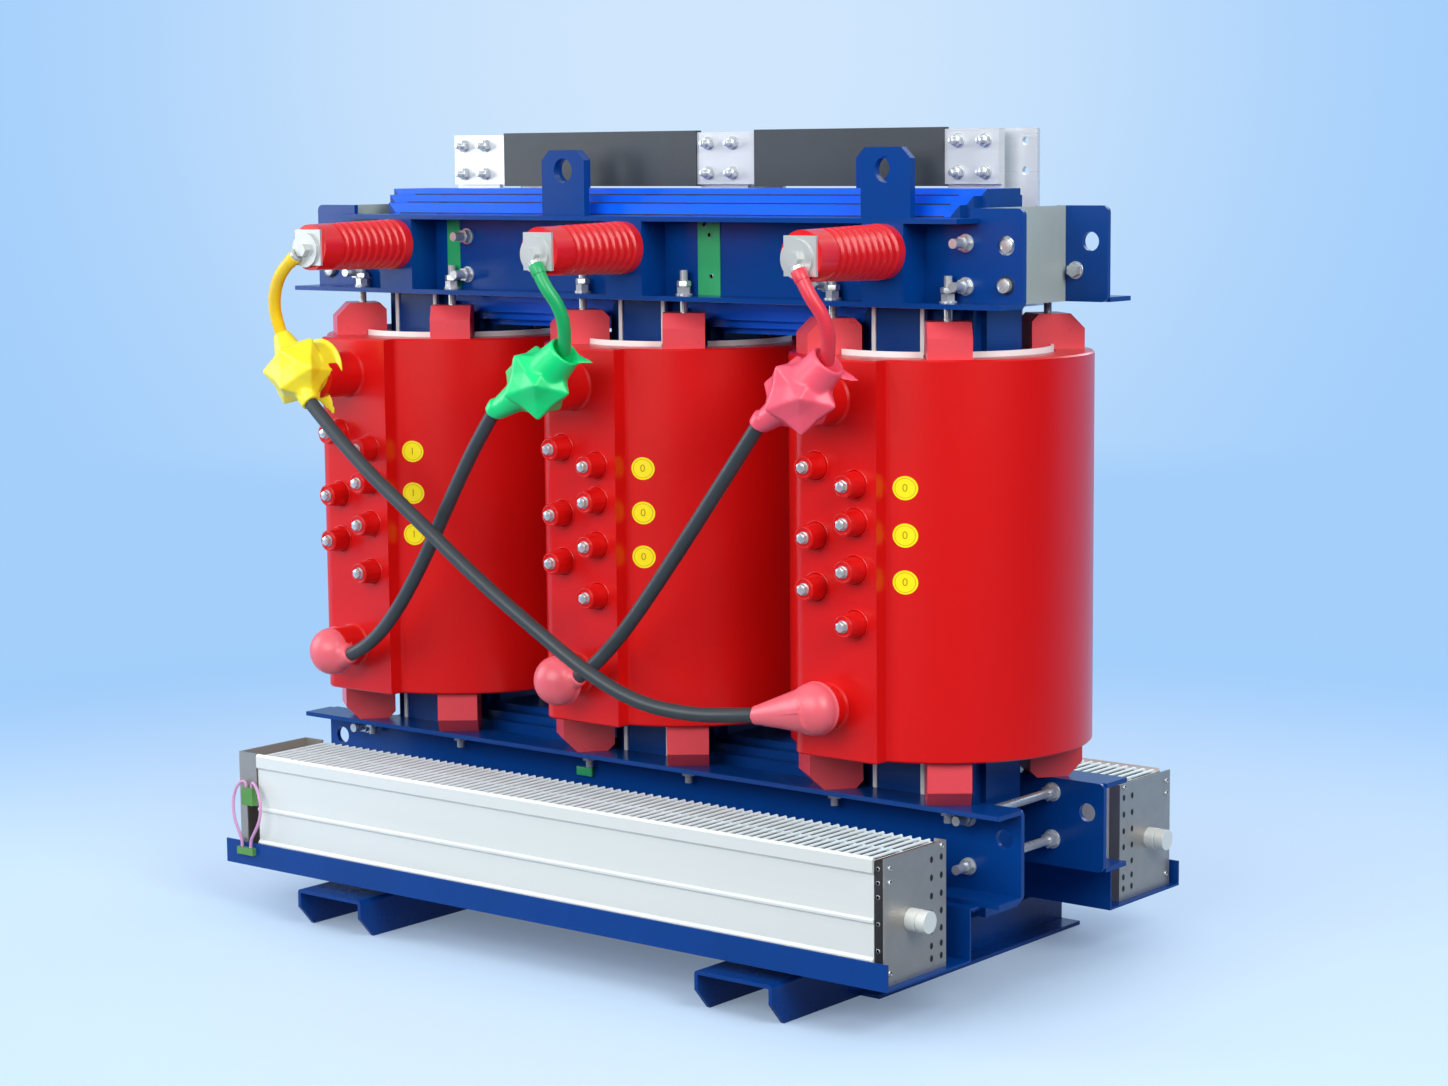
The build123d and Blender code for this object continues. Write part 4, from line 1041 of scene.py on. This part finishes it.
# %% Dark mouths and gaps
guard_bottom = guard_z - rod_radius * 2.5
mouth_side, mouth_left, mouth_right = 6.0, 6.0, 4.0
gap_x0, gap_x1, gap_low, gap_high = 636.5, 650.5, 84.0, 257.0
gap_front, gap_back = 380.0, 236.0
shades = []
for side in (-1, 1):
    y0, y1 = sorted((-side * (guard_y0 + mouth_side), -side * (guard_y1 - mouth_side)))
    shades.append(plate((guard_x0 + mouth_left, y0, guard_bottom - 1.0),
                        (guard_x1 - mouth_right, y1, guard_bottom)))
    y0, y1 = sorted((side * gap_front, side * gap_back))
    shades.append(plate((gap_x0, y0, gap_low), (gap_x1, y1, gap_high)))
hand_over(joined(shades, "fan_dark_insides"), painted_shade_and_joint_dark)
gap_screws = [(((gap_x0 + gap_x1) / 2, side * gap_front, z), (0, side, 0)) for side in (-1, 1)
              for z in (246.0, 226.0, 206.0, 168.0, 130.0, 98.0)]
set_row("fan_gap_screws", round_head(radius=3.2, low=0.0, high=2.0, ease=0.8), gap_screws,
        zinc_plate)
print(len(shades), "dark insides,", len(gap_screws), "screws in the gaps")

# %% [markdown]
# The shaft cap on each end plate is turned in two steps with a groove between them, so it is
# three short bevelled cylinders.

# %% Shaft caps
cap_y, cap_z = 319.5, 165.0
cap_steps = ((655.0, 671.0, 16.4), (671.0, 673.5, 14.0), (673.5, 688.0, 16.0))
caps = []
for side in (-1, 1):
    for x0, x1, radius in cap_steps:
        caps.append(washer_piece(radius, x0, x1))
        caps[-1].rotation_euler = (0.0, pi / 2, 0.0)
        caps[-1].location = metres(0, side * cap_y, cap_z)
hand_over(joined(caps, "fan_shaft_caps"), fan_aluminium)
print(len(caps), "cap steps")

# %% [markdown]
# The fans' end plates are punched with two columns of oblong holes, and held by small pan-head
# screws. A punched hole shows the fan's shaded inside as a dark oblong, so each is a thin slug
# of painted shade in the plate's face.

# %% Fan end plates
end_face_x, slug_out = 655.0, 0.05
plate_front, plate_rear = -382.0, -233.0
hole_columns = (plate_rear - 12.0, plate_rear - 36.0)
hole_heights = (240.0, 214.0, 188.0, 163.0, 138.0, 116.0, 98.0)
hole_radius, slug_thickness, hole_stretch = 3.2, 0.8, 1.5


def oblong_slug(place):
    piece = cylinder(place, hole_radius, slug_thickness, (1, 0, 0), sides=16)
    settle(piece)
    open_edit(piece)
    bpy.ops.transform.resize(value=(1.0, 1.0, hole_stretch), center_override=metres(*place))
    close_edit()
    return piece


# Each slug is painted shade, standing for the dark inside seen through a hole.
slugs = [oblong_slug((end_face_x + slug_out, side * y, z)) for side in (-1, 1)
         for y in hole_columns for z in hole_heights]
hand_over(joined(slugs, "fan_end_hole_shades"), painted_shade_and_joint_dark)
screw_spots = [(plate_front + 12.0, 246.0), (plate_front + 12.0, 226.0), (plate_rear - 12.0, 256.0),
               (plate_front + 12.0, 98.0)]
screw_places = [((end_face_x, side * y, z), (1, 0, 0)) for side in (-1, 1) for y, z in screw_spots]
set_row("fan_end_screws", round_head(radius=4.0, low=0.0, high=2.6, ease=1.2), screw_places,
        zinc_plate)
print(len(slugs), "holes,", len(screw_places), "screws")

# %% [markdown]
# The studio is a pale floor inside a round wall, bright blue-white as in the photograph. Its
# colour changes with the distance from the transformer and from one pale spot on the wall. To
# the camera its far parts shine by themselves, so the background stays even. Other rays see
# only a weaker glow behind the transformer and a dimmer studio towards the camera, so the light
# stays plain and the gloss has contrast. The wall has one side, so a camera outside it sees
# through.

# %% Floor and backdrop
# The pale colour is painted light: a pool round the transformer and a bright spot on the wall.
# Further off the paper is blue.
pale, blue = "#CFE6FD", "#A4CFFB"
painted_light_spot = (-5.6, 7.0, 1.7)
away_from_camera = (-0.63, 0.78, 0.0)


def studio_finish():
    material = bpy.data.materials.new("studio_paper")
    material.use_nodes = True
    tree = material.node_tree
    shader = tree.nodes["Principled BSDF"]
    output = tree.nodes["Material Output"]
    shader.inputs["Roughness"].default_value = 0.5
    place = add_node(tree, "ShaderNodeTexCoord")
    reach = add_node(tree, "ShaderNodeVectorMath", {0: place.outputs["Object"]}, operation="LENGTH")
    around = add_node(tree, "ShaderNodeMapRange", {"Value": reach.outputs["Value"]},
                      {"From Min": 0.9, "From Max": 2.8}, interpolation_type="SMOOTHSTEP")
    aside = add_node(tree, "ShaderNodeVectorMath", {0: place.outputs["Object"]},
                     {1: painted_light_spot}, operation="DISTANCE")
    behind = add_node(tree, "ShaderNodeMapRange", {"Value": aside.outputs["Value"]},
                      {"From Min": 0.4, "From Max": 3.6}, interpolation_type="SMOOTHSTEP")
    share = add_node(tree, "ShaderNodeMath", {0: around.outputs["Result"],
                                              1: behind.outputs["Result"]}, operation="MINIMUM")
    # Pale where the painted light falls, blue elsewhere.
    tint = add_node(tree, "ShaderNodeMix", {"Factor": share.outputs["Value"]}, data_type="RGBA")
    tint.inputs["A"].default_value = linear(pale)
    tint.inputs["B"].default_value = linear(blue)
    tree.links.new(tint.outputs["Result"], shader.inputs["Base Color"])
    glow = add_node(tree, "ShaderNodeEmission", {"Color": tint.outputs["Result"]})
    far = add_node(tree, "ShaderNodeMapRange", {"Value": reach.outputs["Value"]},
                   {"From Min": 0.9, "From Max": 3.2, "To Min": 0.22, "To Max": 1.0})
    facing = add_node(tree, "ShaderNodeVectorMath", {0: place.outputs["Object"]},
                      {1: away_from_camera}, operation="DOT_PRODUCT")
    back = add_node(tree, "ShaderNodeMapRange", {"Value": facing.outputs["Value"]},
                    {"From Min": -2.0, "From Max": 5.0, "To Min": 0.0, "To Max": 0.6})
    rays = add_node(tree, "ShaderNodeLightPath")
    shine = add_node(tree, "ShaderNodeMix", {"Factor": rays.outputs["Is Camera Ray"],
                                             "A": back.outputs["Result"],
                                             "B": far.outputs["Result"]})
    dark = add_node(tree, "ShaderNodeMapRange", {"Value": facing.outputs["Value"]},
                    {"From Min": -1.5, "From Max": 1.0, "To Min": 0.12, "To Max": 0.9})
    seen = add_node(tree, "ShaderNodeMath", {0: dark.outputs["Result"],
                                             1: rays.outputs["Is Camera Ray"]}, operation="MAXIMUM")
    dimmed = add_node(tree, "ShaderNodeMixShader", {"Fac": seen.outputs["Value"],
                                                    2: shader.outputs["BSDF"]})
    mixed = add_node(tree, "ShaderNodeMixShader", {"Fac": shine.outputs["Result"],
                                                   1: dimmed.outputs["Shader"],
                                                   2: glow.outputs["Emission"]})
    side = add_node(tree, "ShaderNodeNewGeometry")
    clear = add_node(tree, "ShaderNodeBsdfTransparent")
    one_sided = add_node(tree, "ShaderNodeMixShader", {"Fac": side.outputs["Backfacing"],
                                                       1: mixed.outputs["Shader"],
                                                       2: clear.outputs["BSDF"]})
    tree.links.new(one_sided.outputs["Shader"], output.inputs["Surface"])
    return material


studio_radius, rim_width, wall_height, floor_drop = 9.0, 2.5, 6.0, 0.0005
bpy.ops.mesh.primitive_circle_add(vertices=96, radius=studio_radius, fill_type="NGON",
                                  location=(0, 0, -floor_drop))
studio = bpy.context.object
studio.name = "studio_floor"
open_edit(studio)
bpy.ops.mesh.inset(thickness=rim_width)
bpy.ops.mesh.select_all(action="DESELECT")
close_edit()
for edge in studio.data.edges:
    edge.select = all(studio.data.vertices[v].co.length > studio_radius - 1 for v in edge.vertices)
bpy.ops.object.mode_set(mode="EDIT")
bpy.ops.mesh.select_mode(type="EDGE")
bpy.ops.mesh.extrude_region_move(TRANSFORM_OT_translate={"value": (0, 0, wall_height)})
close_edit()
print("studio faces inward:", studio.data.polygons[0].normal.z > 0)
studio.data.materials.append(studio_finish())

# %% [markdown]
# The light is a bright, soft studio's: an even pale sky and four large lamps. One stands high
# on the right, whose reflection runs down the coils, one in front, and two weaker ones on the
# left and behind fill the shadows.

# %% Lights
def soft_lamp(name, place, aim, size, power):
    lamp = bpy.data.lights.new(name, "AREA")
    lamp.shape = "RECTANGLE"
    lamp.size, lamp.size_y = size
    lamp.energy = power
    holder = bpy.data.objects.new(name, lamp)
    bpy.context.scene.collection.objects.link(holder)
    holder.location = place
    holder.rotation_euler = turn_to(Vector(place) - Vector(aim))


soft_lamp("window_right", (4.2, -1.6, 3.0), (0, 0, 0.7), (2.4, 2.6), 150)
soft_lamp("window_front", (0.2, -4.9, 2.6), (0, 0, 0.6), (4.4, 2.6), 190)
soft_lamp("fill_left", (-4.0, -2.2, 1.9), (0, 0, 0.7), (2.4, 2.6), 85)
soft_lamp("fill_back", (0.5, 4.4, 3.0), (0, 0, 0.6), (3.0, 2.0), 60)
print(len(bpy.data.lights), "lamps")

world = bpy.data.worlds.new("studio_air")
bpy.context.scene.world = world
world.use_nodes = True
sky = world.node_tree.nodes["Background"]
sky.inputs["Color"].default_value = linear("#E9F1F9")
sky.inputs["Strength"].default_value = 0.62
bpy.context.scene.view_settings.view_transform = "Standard"

# %% The end
clear_selection()
bpy.context.view_layer.update()
